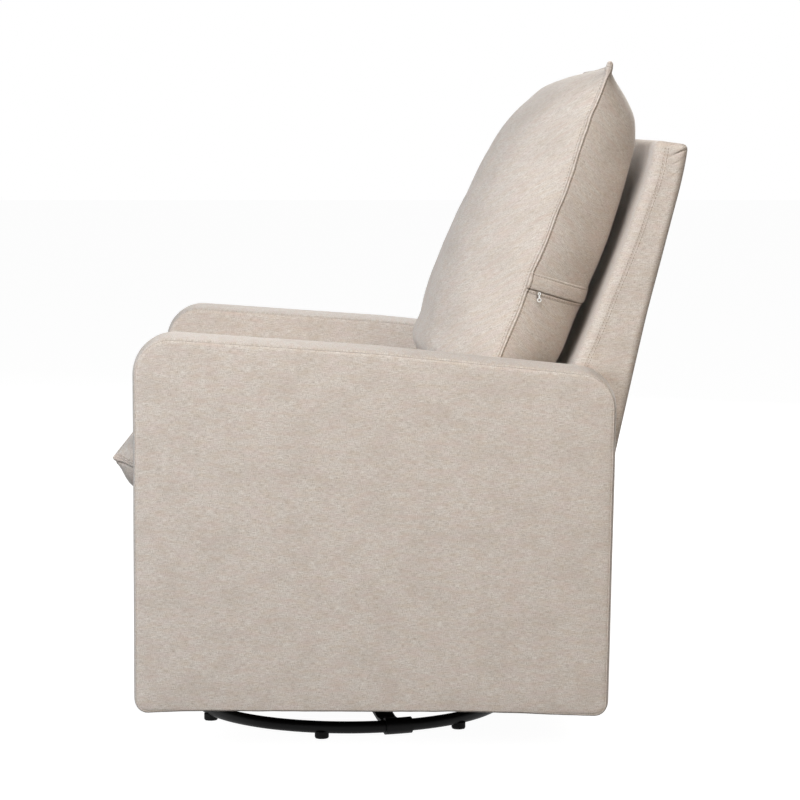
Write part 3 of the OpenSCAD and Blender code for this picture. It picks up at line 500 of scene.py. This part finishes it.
padded_board("front_apron_cover", "front_apron", 5 * MM, 0.8 * MM)
padded_board("outside_back_cover", "rear_apron", 5 * MM, 0.8 * MM)
padded_board("deck_cover", "deck_pad", 5 * MM, 0.5 * MM)


# ---- Back ----
# Plywood sides, rails and elastic bands, with foam over them and a fitted linen cover. The
# inside back wraps 20 mm round each side and is joined there to the outside back with a
# twin-needle seam. The top rear corners are pleated. The posts inside are bolted to the rails.

def profile(stations, at):
    """A smooth curve through (place, height) stations in millimetres, read at places in metres."""
    place, height = np.array(stations, float).T * MM
    slope = np.gradient(height, place)
    k = np.clip(np.searchsorted(place, at) - 1, 0, len(place) - 2)
    span = place[k + 1] - place[k]
    t = np.clip((at - place[k]) / span, 0, 1)
    return ((2 * t ** 3 - 3 * t ** 2 + 1) * height[k] + (t ** 3 - 2 * t ** 2 + t) * span * slope[k]
            + (3 * t ** 2 - 2 * t ** 3) * height[k + 1] + (t ** 3 - t ** 2) * span * slope[k + 1])


def stitch_tree():
    """Geometry Nodes that lay a short round stitch at every pitch along the edges of a mesh."""
    tree = bpy.data.node_groups.new("row_of_stitches", "GeometryNodeTree")
    sockets = {}
    for label, kind in (("Row", "Geometry"), ("Pitch", "Float"), ("Length", "Float"),
                        ("Thickness", "Float"), ("Unevenness", "Float"), ("Thread", "Material"),
                        ("Seed", "Int")):
        socket = tree.interface.new_socket(label, in_out="INPUT", socket_type="NodeSocket" + kind)
        sockets[label] = socket.identifier
    tree.interface.new_socket("Stitches", in_out="OUTPUT", socket_type="NodeSocketGeometry")
    given = add(tree, "NodeGroupInput").outputs
    path = add(tree, "GeometryNodeMeshToCurve", [("Mesh", given["Row"])])
    holes = add(tree, "GeometryNodeResampleCurve", [("Curve", path.outputs[0]),
                                                    ("Length", given["Pitch"])], mode="LENGTH")
    size = add(tree, "ShaderNodeCombineXYZ", [(0, given["Thickness"]), (1, given["Thickness"]),
                                              (2, given["Length"])])
    bead = add(tree, "GeometryNodeMeshUVSphere", Segments=6, Rings=4, Radius=0.5)
    shaped = add(tree, "GeometryNodeTransform", [("Geometry", bead.outputs[0]),
                                                 ("Scale", size.outputs[0])])
    wobble = add(tree, "FunctionNodeRandomValue", [("Seed", given["Seed"])],
                 data_type="FLOAT_VECTOR")
    wobble.inputs[0].default_value, wobble.inputs[1].default_value = (-1, -1, -1), (1, 1, 1)
    uneven = add(tree, "ShaderNodeVectorMath", [(0, wobble.outputs[0])], operation="SCALE")
    tree.links.new(given["Unevenness"], uneven.inputs["Scale"])
    heading = add(tree, "GeometryNodeInputTangent")
    aimed = add(tree, "ShaderNodeVectorMath", [(0, heading.outputs[0]), (1, uneven.outputs[0])],
                operation="ADD")
    turn = add(tree, "FunctionNodeAlignRotationToVector", [("Vector", aimed.outputs[0])],
               axis="Z")
    laid = add(tree, "GeometryNodeInstanceOnPoints", [("Points", holes.outputs[0]),
                                                      ("Instance", shaped.outputs[0]),
                                                      ("Rotation", turn.outputs[0])])
    real = add(tree, "GeometryNodeRealizeInstances", [("Geometry", laid.outputs[0])])
    dyed = add(tree, "GeometryNodeSetMaterial", [("Geometry", real.outputs[0]),
                                                 ("Material", given["Thread"])])
    tree.links.new(dyed.outputs[0], add(tree, "NodeGroupOutput").inputs[0])
    return tree, sockets


stitching, stitching_sockets = stitch_tree()

# Spun polyester sewing thread, two shades darker than the linen: soft, with a slight sheen and the
# ribs of its ply, 0.5 mm apart.
sewing_thread = surfaced("spun_polyester_thread", ("#8d7c6a", "#a39280"), (0.6, 0.75),
                         (0.5 * MM, 0.05 * MM), 7 * MM, Sheen_Weight=0.2)


def stitches(name, rows, seed, material, pitch, length, thickness, uneven):
    """Stitches, or zip teeth, along rows of points. They ride with the seat."""
    places, links = [], []
    for row in rows:
        links += [(len(places) + k, len(places) + k + 1) for k in range(len(row) - 1)]
        places += [tuple(p) for p in row]
    mesh = bpy.data.meshes.new(name)
    mesh.from_pydata(places, links, [])
    made = bpy.data.objects.new(name, mesh)
    bpy.context.scene.collection.objects.link(made)
    sewing = made.modifiers.new("sewing", "NODES")
    sewing.node_group = stitching
    for label, value in (("Pitch", pitch), ("Length", length), ("Thickness", thickness),
                         ("Unevenness", uneven), ("Thread", material), ("Seed", seed)):
        sewing[stitching_sockets[label]] = value
    ready = bpy.context.evaluated_depsgraph_get()
    made.data = bpy.data.meshes.new_from_object(made.evaluated_get(ready))
    made.modifiers.remove(sewing)
    made.data.shade_smooth()
    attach(made, "seat")
    return made


def sew(name, rows, seed):
    """Topstitching in the linen: 4.8 mm stitches with 2.9 mm of each showing."""
    return stitches(name, rows, seed, sewing_thread, 4.8 * MM, 2.9 * MM, 1.05 * MM, 0.12)


BACK_LEAN = math.radians(21.2)
BACK_THICK = 50 * MM     # how thick the back is at its top
BACK_RISE = 9 * MM       # how far its front edge stands over its box
BACK_FALL = 7 * MM       # how far its top slopes down to the rear
FRONT_WRAP = 34.5 * MM   # how far behind the front edge the closely drawn part of a side ends
BACK_JOIN = 19.6 * MM    # how far behind the back's front edge its side seams run
TWIN = 2.6 * MM        # from that seam to the stitching on each side of it

back_low, back_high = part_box("back_cover")
back_half = back_high.x
bend = 415 * MM


def back_front(z):
    """Depth of the back's front face at height z. Its foam is hollowed by a few millimetres."""
    hollow = profile([(480, 0), (560, 8), (620, 12), (680, 13), (744, 14), (783, 14),
                      (820, 12), (869, 10), (900, 5), (917, 1)], z)
    return back_high.y - BACK_THICK - math.tan(BACK_LEAN) * (back_high.z - z) + hollow


def back_rear(z):
    """Depth of its rear face at height z. The cover is pulled in at the waist."""
    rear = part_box("arm_pad_left")[1].y + 1 * MM
    lean = (back_high.y - rear) / (back_high.z - 6 * MM - bend)
    waist = profile([(415, 0), (508, -0.6), (584, -1.7), (676, -1.4), (767, 1.1), (813, 2.7),
                     (873, 3.7), (905, 2.5), (917, 1.5)], z)
    return rear + lean * max(z - bend, 0) + waist


SOFT_FRONT, SOFT_REAR, SOFT_TOP = 15 * MM, 12 * MM, 9 * MM


def back_stations():
    """Places round the back from the middle of its front: x, what sets the depth there, how
    far behind the front or ahead of the rear, and the way out."""
    places = [(x, "front", 0, (0, -1)) for x in np.linspace(0, back_half - SOFT_FRONT, 28)]
    for a in np.linspace(0, math.pi / 2, 8)[1:-1]:
        places.append((back_half - SOFT_FRONT * (1 - math.sin(a)), "front",
                       SOFT_FRONT * (1 - math.cos(a)), (math.sin(a), -math.cos(a))))
    behind = [15, 15.6, 16.2, 17, 17.8, 18.4, 19, 19.6, 20.2, 20.8, 21.5, 22.2, 23, 24, 25.5,
              28, 31, 34.5]
    places += [(back_half, "front", d * MM, (1, 0)) for d in behind]
    places += [(back_half, "share", w, (1, 0)) for w in np.linspace(0, 1, 12)[1:]]
    for a in np.linspace(0, math.pi / 2, 8)[1:]:
        places.append((back_half - SOFT_REAR * (1 - math.cos(a)), "rear",
                       SOFT_REAR * (1 - math.sin(a)), (math.cos(a), math.sin(a))))
    places += [(x, "rear", 0, (0, 1)) for x in np.linspace(back_half - SOFT_REAR, 0, 28)[1:]]
    return places + [(-x, kind, d, (-n[0], n[1])) for x, kind, d, n in places[-2:0:-1]]


def twin_seam(d):
    """How far the cloth stands out over a twin-needle seam, d metres from its middle: raised
    by the allowance under it, nipped by both rows of stitches, with a groove between."""
    d = np.abs(d)
    nips = 0.55 * np.exp(-((d - TWIN) / (0.8 * MM)) ** 2) + 0.9 * np.exp(-(d / (0.7 * MM)) ** 2)
    return (0.7 / (1 + (d / (4.5 * MM)) ** 4) - nips) * MM


def back_cover():
    """The padded back above the seat deck, as one closed cover, and its rows of stitches."""
    places = back_stations()
    top = back_high.z + BACK_RISE
    tall = top - SOFT_TOP - back_low.z
    shares = np.concatenate([[0, 0.004, 0.012], np.linspace(0.03, 0.86, 56),
                             np.linspace(0.87, 0.92, 8), np.linspace(0.925, 1, 32)])
    levels = [(back_low.z + tall * f, 0.0, 0.0) for f in shares]
    levels += [(top - SOFT_TOP * (1 - math.sin(a)), SOFT_TOP * (1 - math.cos(a)), 0.0)
               for a in np.linspace(0, math.pi / 2, 9)[1:]]
    levels += [(top, SOFT_TOP, share) for share in (0.12, 0.3, 0.5, 0.7, 0.86, 1.0)]
    points, cloth = np.zeros((len(levels), len(places), 3)), []
    for r, (z, inset, share) in enumerate(levels):
        front, rear = back_front(z), back_rear(z)
        row, run = [], 0.0
        for c, (x, kind, d, n) in enumerate(places):
            first = front + FRONT_WRAP
            y = {"front": front + d, "rear": rear - d,
                 "share": first + (rear - SOFT_REAR - first) * d}[kind]
            x, y = x - inset * n[0], y - inset * n[1]
            middle = (math.copysign(min(abs(x), back_half - 25 * MM), x), (front + rear) / 2)
            x, y = x + (middle[0] - x) * share, y + (middle[1] - y) * share
            fall = BACK_FALL * (y - front) / (rear - front) * (z - back_low.z) / tall
            points[r, c] = (x, y, z - fall)
            if c:
                run += math.dist(points[r, c][:2], points[r, c - 1][:2])
            row.append((run, z))
        run += math.dist(points[r, 0][:2], points[r, -1][:2])
        cloth.append(row + [(run, z)])
    soft = (np.clip((top - points[..., 2]) / (12 * MM), 0, 1)
            * np.clip((points[..., 2] - back_low.z) / (20 * MM), 0, 1))
    out = np.array([n for _, _, _, n in places])
    behind = np.array([d if kind == "front" and abs(n[0]) > 0.999 else 1.0
                       for _, kind, d, n in places]) - BACK_JOIN
    sideways = ripple(points, 0.09, 4.0) * 1.0 * MM + twin_seam(behind)[None]
    points[..., 0] += out[None, :, 0] * sideways * soft
    points[..., 1] += out[None, :, 1] * ripple(points, 0.13, 12.0) * 1.3 * MM * soft
    pleat(points, out, top - 7 * MM)
    floor_row = points[:1].copy()
    floor_row[0, :, 1] = (back_front(back_low.z) + back_rear(back_low.z)) / 2
    sheets = [sheet(points, cloth, wrap=True),
              sheet(np.concatenate([points[:1], floor_row]), [cloth[0], cloth[0]], wrap=True)]
    upholster(sewn("back_upholstery", sheets, linen), "back_cover")
    rows = []
    for side in (1, -1):
        for where in (-TWIN, TWIN):
            c = min((k for k in range(len(places)) if places[k][0] * side > 0),
                    key=lambda k: abs(behind[k] - where))
            row = points[2:len(shares) - 1, c] + np.array([side * 0.15 * MM, 0, 0])
            rows.append(row.tolist())
    sew("back_side_stitching", rows, 11)


def pleat(points, out, top):
    """Folds the cover over itself at the top rear corners: a flap that thins out forwards, and
    under it a crease that runs forwards and down from the corner, with two small folds."""
    ahead = back_rear(top) - points[..., 1]
    for start, slope, step, cut, long in ((4, 0.45, 2.4, 2.6, 30), (15, 0.6, 0.6, 0.8, 36),
                                          (29, 0.7, 0.4, 0.6, 44)):
        off = points[..., 2] - (top - start * MM - slope * ahead)
        reach = np.clip(1 - ahead / (long * MM), 0, 1) ** 0.7
        over = step * np.clip(0.5 + off / (1.6 * MM), 0, 1)
        over = over * np.exp(-np.maximum(off, 0) / (12 * MM))
        under = cut * np.exp(-((off + 1.2 * MM) / (1.3 * MM)) ** 2)
        points[..., 0] += out[None, :, 0] * (over - under) * reach * MM


back_cover()


# ---- Arms ----
# Each arm is a plywood and timber frame padded with foam. Its linen cover has two flat side
# panels and a 120 mm strip that runs round the edge, sewn to the panels with plain seams and
# crowned by the foam. The arms are bolted to the seat's side rails.

ARM_CROWN = 5.2 * MM
SEAM_DEPTH = 1.4 * MM
SEAM_HALF = 2.2 * MM


def make_arm(name, node, side):
    """One padded arm. side is 1 for the sitter's left and -1 for the right."""
    low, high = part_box(node)
    inner, outer = (low.x, high.x) if side > 0 else (high.x, low.x)
    front, rear, base, top = low.y, high.y, low.z, high.z
    circles = [(front + 0.0618, top - 0.060, 0.060), ((front + rear) / 2, top - 0.0805, 0.060),
               (rear - 0.058, top - 0.111, 0.060), (front + 0.0248, base + 0.030, 0.025),
               (rear - 0.032, base + 0.024, 0.025)]
    line, facing, run = rolled_outline(circles, 5 * MM)
    arch = profile([(-395, 0.5), (-351, 2.3), (-327, 3.4), (-200, 4.4), (0, 5.2), (107, 5.8),
                    (145, 5), (192, 4.1), (239, 2.3), (300, 1)], line[:, 0])
    line[:, 1] += arch * np.clip(-facing[:, 1], 0, 1) ** 4
    thick = abs(outer - inner)
    across = np.array([0, 0.5, 1.0, 1.6, 2.4, 3.4, 5, 8, 13, 20, 29, 39, 49, 60]) * MM
    across = np.concatenate([across, thick - across[-2::-1]])
    drop = ARM_CROWN * np.abs(2 * across / thick - 1) ** 2.6
    edge = np.minimum(across, thick - across)
    drop = drop + SEAM_DEPTH * np.exp(-(edge / SEAM_HALF) ** 2)
    strip = np.zeros((len(across), len(line), 3))
    strip[..., 0] = inner + side * across[:, None]
    strip[..., 1:] = line[None] - drop[:, None, None] * facing[None]
    wave = ripple(strip, 0.16, 3.0 + side) * (edge / thick)[:, None] * 1.4 * MM
    pucker = ripple(strip * np.array([0, 1, 1]), 0.024, 8.0 + side) * np.exp(
        -((edge - 5 * MM) / (7 * MM)) ** 2)[:, None] * 0.5 * MM
    strip[..., 1:] += (wave + pucker)[..., None] * facing[None]
    cloth = [[(a, r) for r in run] for a in across]
    sheets = [sheet(strip, cloth, wrap=True)]
    middle = np.array([(front + rear) / 2, (base + top) / 2 - 0.01])
    for face, outwards, puff in ((inner, -side, 0.4 * MM), (outer, side, 2.6 * MM)):
        rim = strip[0 if face == inner else -1][:, 1:]
        shares = [0, 0.002, 0.0045, 0.0075, 0.0115, 0.017, 0.026, 0.04, 0.06, 0.09, 0.13, 0.18]
        shares = np.concatenate([shares, np.linspace(0.24, 1, 18)])
        flat = rim[None] + (middle - rim)[None] * shares[:, None, None]
        depth = np.min([(line @ n).max() - flat @ n for n in facing[::4]], axis=0) - ARM_CROWN
        depth = np.maximum(depth - SEAM_DEPTH, 0)
        panel = np.zeros(flat.shape[:2] + (3,))
        panel[..., 1:] = flat
        panel[..., 0] = face + outwards * (
            puff * (1 - np.exp(-depth / 0.022)) - SEAM_DEPTH * np.exp(-(depth / SEAM_HALF) ** 2))
        near = np.exp(-((depth - 6 * MM) / (9 * MM)) ** 2)
        panel[..., 0] += outwards * (
            ripple(panel, 0.11, 9.0 * side) * 0.5 * MM * np.minimum(depth / 0.05, 1)
            + ripple(panel, 0.022, 5.0 * side) * 0.35 * MM * near * np.minimum(depth / 0.003, 1))
        cloth = [[(p[1], p[2]) for p in row] + [(row[0][1], row[0][2])] for row in panel]
        panel[0] = strip[0 if face == inner else -1]
        sheets.append(sheet(panel, cloth, wrap=True))
    return upholster(sewn(name, sheets, linen), node)


make_arm("arm_cover_left", "arm_pad_left", 1)
make_arm("arm_cover_right", "arm_pad_right", -1)


# ---- Seat cushion ----
# A loose cushion of foam wrapped in fibre, in a cover of two linen panels. They are sewn
# together half way up its edge, and the seam is topstitched into a flat double ridge that ends
# in a soft ear at each front corner. It lies on the deck between the arms.

NEAR_SEAM = np.array([0, 0.35, 0.7, 1.1, 1.5, 1.9, 2.4, 3, 3.7, 4.6, 6, 8, 11, 15, 20, 26, 33,
                      41, 50]) * MM
STITCH_AT = 9    # the place in that list where the topstitching runs


def spaced(length, step):
    """Places from one seam to the opposite one, close together near both."""
    middle = length - 2 * NEAR_SEAM[-1]
    even = NEAR_SEAM[-1] + middle * np.linspace(0, 1, int(middle / step) + 1)[1:-1]
    return np.concatenate([NEAR_SEAM, even, length - NEAR_SEAM[::-1]])


def from_ends(points):
    """How far along the cloth each point of a grid is from the nearer of its columns' ends."""
    steps = np.linalg.norm(np.diff(points, axis=0), axis=2)
    run = np.concatenate([np.zeros((1, points.shape[1])), np.cumsum(steps, axis=0)])
    return np.minimum(run, run[-1] - run), run


def panel(half, length, stations, power, bend):
    """One panel of a stuffed cover, half its seam's width and length: its points as x, place
    along it and height over the seam. stations give the height down its middle; power and bend
    round it off towards the sides. The points are close together along the seams."""
    along = spaced(length, 7 * MM)
    dense = 1 - (1 - np.linspace(0, 1, 500)) ** 2.5
    curve = (1 - dense ** power) ** bend
    shares = []
    for tall in profile(stations, along):
        run = np.hypot(np.diff(dense * half), np.diff(curve * tall))
        run = np.concatenate([[0], np.cumsum(run)])
        even = np.linspace(0, run[-1] - NEAR_SEAM[-1], int(half / (7 * MM)))[:-1]
        at = np.concatenate([even, run[-1] - NEAR_SEAM[::-1]])
        shares.append(np.interp(at, run, dense))
    t = np.array(shares)
    t = np.concatenate([-t[:, :0:-1], t], axis=1)
    rise = profile(stations, along)[:, None] * (1 - np.abs(t) ** power) ** bend
    return np.stack([t * half, np.broadcast_to(along[:, None], t.shape), rise], -1)


def seam_facts(points):
    """For each point of a panel: how far along the cloth the nearest seam is, the way out
    across that seam, and a place along it."""
    ends, climb = from_ends(points)
    sides, run = from_ends(points.transpose(1, 0, 2))
    sides, run = sides.T, run.T
    side = np.exp(-sides / (3 * MM)) * np.sign(points[..., 0])
    end = np.exp(-ends / (3 * MM)) * np.sign(climb - climb[-1] / 2)
    size = np.maximum(np.hypot(side, end), 1e-9)
    along = np.where(sides < ends, points[..., 1], points[..., 0] + 2.0)
    return (np.minimum(sides, ends), side / size, end / size, along,
            np.stack([run - run[:, [run.shape[1] // 2]], climb], -1))


def double_ridge(e):
    """Height of the seam's flat double ridge, e metres from its middle along the cloth."""
    return profile([(0, 0.5), (1, 1.2), (2.1, 1.9), (3.3, 1.0), (4.5, -0.8), (6, -0.4), (8, 0),
                    (12, 0)], e)


def stuffed(points, sign, seed, dent, fold):
    """Gives a panel its double ridge, the small folds beside it, and the soft dents of the
    filling. sign is 1 for the panel whose height goes out and -1 for the other."""
    e, outward_x, outward_s, along, cloth = seam_facts(points)
    lift = double_ridge(e)
    points[..., 0] += outward_x * lift
    points[..., 1] += outward_s * lift
    lines = np.stack([along, np.zeros_like(along), np.full_like(along, seed)], -1)
    folds = (ripple(lines, 0.026, seed) + 0.6 * ripple(lines, 0.011, seed + 3)) * fold
    folds *= (1 - np.exp(-e / (4 * MM))) * np.exp(-e / (17 * MM))
    away = np.clip(e / (60 * MM), 0, 1)
    soft = (ripple(points, 0.13, seed) + 0.4 * ripple(points, 0.05, seed + 9)) * dent * away
    points[..., 2] = sign * (points[..., 2] + soft + folds)
    return cloth, e


def ear(points, e, sign, corner, lean, out, thick, wide):
    """Draws the cover's corner out into a soft ear, in the direction lean. e is how far each
    point is from the seam."""
    a = np.abs(points[..., 0] - corner[0])
    b = np.abs(points[..., 1] - corner[1])
    near = np.exp(-(a * a + b * b) / wide ** 2)
    body = np.exp(-((a * a + b * b) / (1.5 * wide) ** 2) ** 2)
    groove = np.where(e < 2.1 * MM, double_ridge(2.1 * MM) - double_ridge(e), 0) * body
    for k in range(3):
        points[..., k] += lean[k] * (out * near + groove)
    points[..., 2] += sign * thick * body * (1 - np.exp(-(e / (2 * MM)) ** 1.5))


def stitch_rings(points):
    """The closed line of topstitching on a panel, a little above the cloth."""
    k = STITCH_AT
    ring = [points[k:-k, k], points[-k - 1, k:-k], points[-k - 1:k - 1:-1, -k - 1],
            points[k, -k - 1:k - 1:-1]]
    return np.concatenate(ring)


cushion_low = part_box("seat_cushion")[0]
CUSHION_SEAM = 38 * MM     # height of its seam over the deck
CUSHION_NOSE = 1.5 * MM    # how far its nose sits behind its ears
CUSHION_CURL = 15 * MM     # how far the seam rises at the nose
CURL_REACH = 22 * MM       # how far behind the nose that rise fades out
CUSHION_HALF = 272 * MM
CUSHION_LONG = 630 * MM
CUSHION_UPPER = [(0, 0), (4, 5.5), (10, 14.5), (16, 23), (23, 34), (34, 46.5), (62, 62),
                 (112, 69.5), (300, 70.5), (520, 70), (570, 63), (600, 48), (617, 31), (630, 0)]
CUSHION_LOWER = [(0, 0), (3, 10), (8, 20.5), (12, 28), (17, 35), (22, 39), (30, 41), (45, 38),
                 (300, 38), (588, 38), (605, 34), (618, 25), (630, 0)]


def on_deck(points):
    """A cushion point (x, behind the nose, over the seam) in the chair's own frame."""
    return points + np.array([0, cushion_low.y + CUSHION_NOSE, cushion_low.z + CUSHION_SEAM])


sheets, rows = [], []
for stations, sign, power, bend_to, seed in ((CUSHION_UPPER, 1, 13, 0.62, 21.0),
                                             (CUSHION_LOWER, -1, 22, 0.5, 27.0)):
    points = panel(CUSHION_HALF, CUSHION_LONG, stations, power, bend_to)
    cloth, e = stuffed(points, sign, seed, 2.5 * MM if sign > 0 else 0.0, 1.3 * MM)
    points[..., 2] += CUSHION_CURL * np.exp(-(points[..., 1] / CURL_REACH) ** 2)
    if sign < 0:
        points[..., 2] = np.maximum(points[..., 2], -CUSHION_SEAM)
    for side in (-1, 1):
        ear(points, e, sign, (side * CUSHION_HALF, 0), (side * 0.6, -0.8, -0.4), 1.6 * MM,
            (1.2 if sign > 0 else 3.0) * MM, 9 * MM)
    points = on_deck(points)
    sheets.append(sheet(points, cloth.tolist()))
    rows.append(stitch_rings(points))
upholster(sewn("seat_cushion_cover", sheets, linen), "seat_cushion")
sew("cushion_topstitching", rows, 12)


# ---- Back pillow ----
# A loose knife-edge pillow: two linen panels sewn together round their edge and filled with
# fibre. Its seam is topstitched into a flat double ridge that ends in soft ears. It stands on
# the seat cushion and leans on the back.

pillow_foot = Vector((0, 117.36, 512)) * MM


def on_pillow(points):
    """Pillow points (x, up along its seam, in front of the seam) in the chair's own frame."""
    across, up, out = points[..., 0], points[..., 1], points[..., 2]
    return np.stack([across,
                     pillow_foot.y + up * math.sin(BACK_LEAN) - out * math.cos(BACK_LEAN),
                     pillow_foot.z + up * math.cos(BACK_LEAN) + out * math.sin(BACK_LEAN)], -1)


PILLOW_HALF = 271.5 * MM
PILLOW_TALL = 564 * MM
PILLOW_EAR = 272.5 * MM    # how far out its ears are centred
PILLOW_DEEPEST = 103 * MM  # how far behind its seam it may bulge before it meets the back
SAG = 3 * MM               # how far the top dips between the ears
SAG_FROM = 300 * MM        # height over its foot where that dip starts
PILLOW_FRONT = [(0, 0), (14, 66), (40, 108), (100, 121), (207, 128), (314, 124), (387, 114),
                (444, 100), (487, 80.5), (512, 65), (538, 37.5), (564, 0)]
PILLOW_REAR = [(0, 0), (16, 48), (50, 82), (116, 100), (204, 102), (302, 102.5), (341, 100),
               (380, 97), (418, 96), (444, 93), (477, 87.5), (497, 79), (510, 71), (522, 59),
               (534, 44), (544, 29), (554, 14), (564, 0)]
PILLOW_SEAM = [(0, -5), (92, -3), (135, -3.3), (177, -4.5), (210, -2.8), (238, -2.2), (257, -3.2),
               (280, -4.6), (315, -3.8), (365, -4.2), (405, -2), (431, 0), (452, 1.4), (468, 1.4),
               (481, 3), (498, 1.6), (525, 1), (564, 0.5)]
ZIP_UP = 205.5 * MM        # height of the zip band's lower edge at the seam
ZIP_RISE = 0.06            # how far the band climbs for each millimetre behind the seam

sheets, rows = [], []
for stations, sign, power, bend_to, seed in ((PILLOW_FRONT, 1, 3.0, 0.8, 2.0),
                                             (PILLOW_REAR, -1, 8.0, 0.833, 5.0)):
    points = panel(PILLOW_HALF, PILLOW_TALL, stations, power, bend_to)
    up, share = points[..., 1].copy(), np.abs(points[..., 0]) / PILLOW_HALF
    cloth, e = stuffed(points, sign, seed, 4.4 * MM, 1.8 * MM)
    wander = profile(PILLOW_SEAM, up) * share ** 3
    points[..., 2] += wander
    tall = (2 * up / PILLOW_TALL - 1) ** 6
    points[..., 0] *= 1 - 0.006 + 0.014 * tall * (up > PILLOW_TALL / 2)
    points[..., 1] -= SAG * np.clip(1 - share ** 2, 0, 1) * np.clip(
        (up - SAG_FROM) / (PILLOW_TALL - SAG_FROM), 0, 1) ** 2
    points[..., 2] = np.clip(points[..., 2], -PILLOW_DEEPEST, None)
    cloth[..., 1] += math.tan(BACK_LEAN) * points[..., 2]
    for side, lean, long in ((1, (0.6, 0.55, 0.3), 9), (-1, (-0.7, -0.7, -0.2), 8)):
        ear(points, e, sign, (side * PILLOW_EAR, PILLOW_TALL), lean, long * MM, 4.8 * MM,
            9.5 * MM)
    if sign < 0:
        rear_panel = points.copy()
    points = on_pillow(points)
    sheets.append(sheet(points, cloth.tolist()))
    rows.append(stitch_rings(points))
upholster(sewn("back_pillow_cover", sheets, linen), "back_pillow")
sew("pillow_topstitching", rows, 13)


# ---- Zip ----
# A coil zip runs round the pillow's rear, from one side seam to the other, so that the cover
# comes off. A 25 mm band of linen, folded double, lies over its upper edge and is topstitched
# along its own. The slider has a small metal ring to pull it by.

steps_across = np.gradient(rear_panel, axis=1)
steps_up = np.gradient(rear_panel, axis=0)
rear_out = np.cross(steps_across, steps_up)
rear_out /= np.maximum(np.linalg.norm(rear_out, axis=2), 1e-12)[..., None]
rear_out *= np.sign(-rear_out[len(rear_out) // 2, rear_out.shape[1] // 2, 2])
columns = range(3, rear_panel.shape[1] - 3)


def beside_zip(above, off):
    """Points along the zip, above its band's lower edge and off the pillow by so much, in
    millimetres, from one side seam to the other."""
    line = []
    for c in columns:
        up = rear_panel[:, c, 1]
        depth = np.interp(ZIP_UP, up, -rear_panel[:, c, 2])
        at = ZIP_UP + ZIP_RISE * max(depth, 0) + above * MM
        spot, way = ([np.interp(at, up, grid[:, c, k]) for k in range(3)]
                     for grid in (rear_panel, rear_out))
        line.append(np.array(spot) + np.array(way) * off * MM)
    return np.array(line)


def zip_strip(name, section, material, node=None):
    """A closed strip along the zip, with that section of (above, off) in millimetres."""
    lines = on_pillow(np.stack([beside_zip(above, off) for above, off in section], 1))
    run = np.concatenate([[0], np.cumsum(np.linalg.norm(np.diff(lines[:, 0], axis=0), axis=1))])
    girth = [above for above, _ in section] + [section[0][0]]
    ends = [np.concatenate([lines[:1] * 0 + lines[r].mean(0), lines[[r]]]) for r in (0, -1)]
    cloth = [[(u, v * MM) for v in girth] for u in run]
    sheets = [sheet(lines, cloth, wrap=True)]
    sheets += [sheet(end, [cloth[0], cloth[0]], wrap=True) for end in ends]
    made = sewn(name, sheets, material, join=0.01 * MM)
    if node:
        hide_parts(node)
    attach(made, "seat")
    return made


zip_strip("zip_band", [(0.6, -0.6), (0, 0.3), (-0.1, 1.2), (0.4, 2.0), (1.6, 2.5), (4, 2.7),
                       (8, 2.8), (12, 2.7), (16, 2.3), (19.5, 1.8), (20.8, 1.3), (21.6, 0.8),
                       (22.4, 1.2), (23.6, 1.3), (24.6, 1.0), (25, 0.3), (24.8, -0.6), (12, -1)],
          linen, "zip_placket")
zip_strip("zip_lower_welt", [(-1.9, -0.6), (-1.8, 0.3), (-2.5, 0.8), (-4.2, 0.8), (-6, 0.5),
                             (-7.4, -0.1), (-7, -0.9), (-4.5, -1)], linen)
sew("zip_band_stitching", [on_pillow(beside_zip(above, off)).tolist()
                           for above, off in ((21.6, 0.95), (-4.5, 0.85))], 14)

# Woven zip tape: flat polyester, a fine herringbone 1 mm wide, drawn as 2 mm ribs.
zip_tape, tree, output = new_material("woven_zip_tape_painted_shade")
cloth = add(tree, "ShaderNodeUVMap", uv_map="cloth")
ribs = add(tree, "ShaderNodeTexWave", [("Vector", cloth.outputs[0])], bands_direction="DIAGONAL",
           Scale=math.tau / (20 * 2 * MM), Distortion=0.5)
# The tape's dark brown-grey is painted shade: darker than the real tape, it stands for the shadow
# line under the band.
skinned(tree, output, between(tree, "#91857a", "#a39789", ribs.outputs["Fac"]),
        bumped(tree, ribs.outputs["Fac"], 0.5, 0.1 * MM), Roughness=0.85)
zip_strip("zip_tape", [(1.5, -0.5), (1.5, 0.3), (-1, 0.35), (-3, 0.3), (-3, -0.5)],
          zip_tape, "zip_chain")

# Nylon coil: a monofilament spiral whose turns are 1.5 mm apart, with a waxy shine.
# Its dark greige is painted shade, standing for the shadow line under the band's lower edge.
coil_nylon_painted_shade = surfaced("greige_nylon_coil_painted_shade", ("#8a7f74", "#9a8e82"), (0.35, 0.45),
                      (0.6 * MM, 0.02 * MM), 5 * MM, IOR=1.53)
stitches("zip_coil", [on_pillow(beside_zip(-0.9, 0.6)).tolist()], 15, coil_nylon_painted_shade, 1.5 * MM,
         1.15 * MM, 1.6 * MM, 0.02)

# Tumbled zinc casting with a white-silver satin finish.
zip_casting = surfaced("satin_zinc_casting", ("#d6d6d4", "#efefed"), (0.26, 0.4),
                       (0.9 * MM, 0.03 * MM), 3 * MM, Metallic=1.0)
dress(zip_casting, "zip_pull")

# The slider's body is the same casting, greige as painted shade to sink into the band's shadow
# line.
slider_painted_shade = surfaced("greige_slider_painted_shade", ("#8f8478", "#9e9388"), (0.3, 0.42),
                         (1.2 * MM, 0.03 * MM), 4 * MM, IOR=1.5)
dress(slider_painted_shade, "zip_slider")
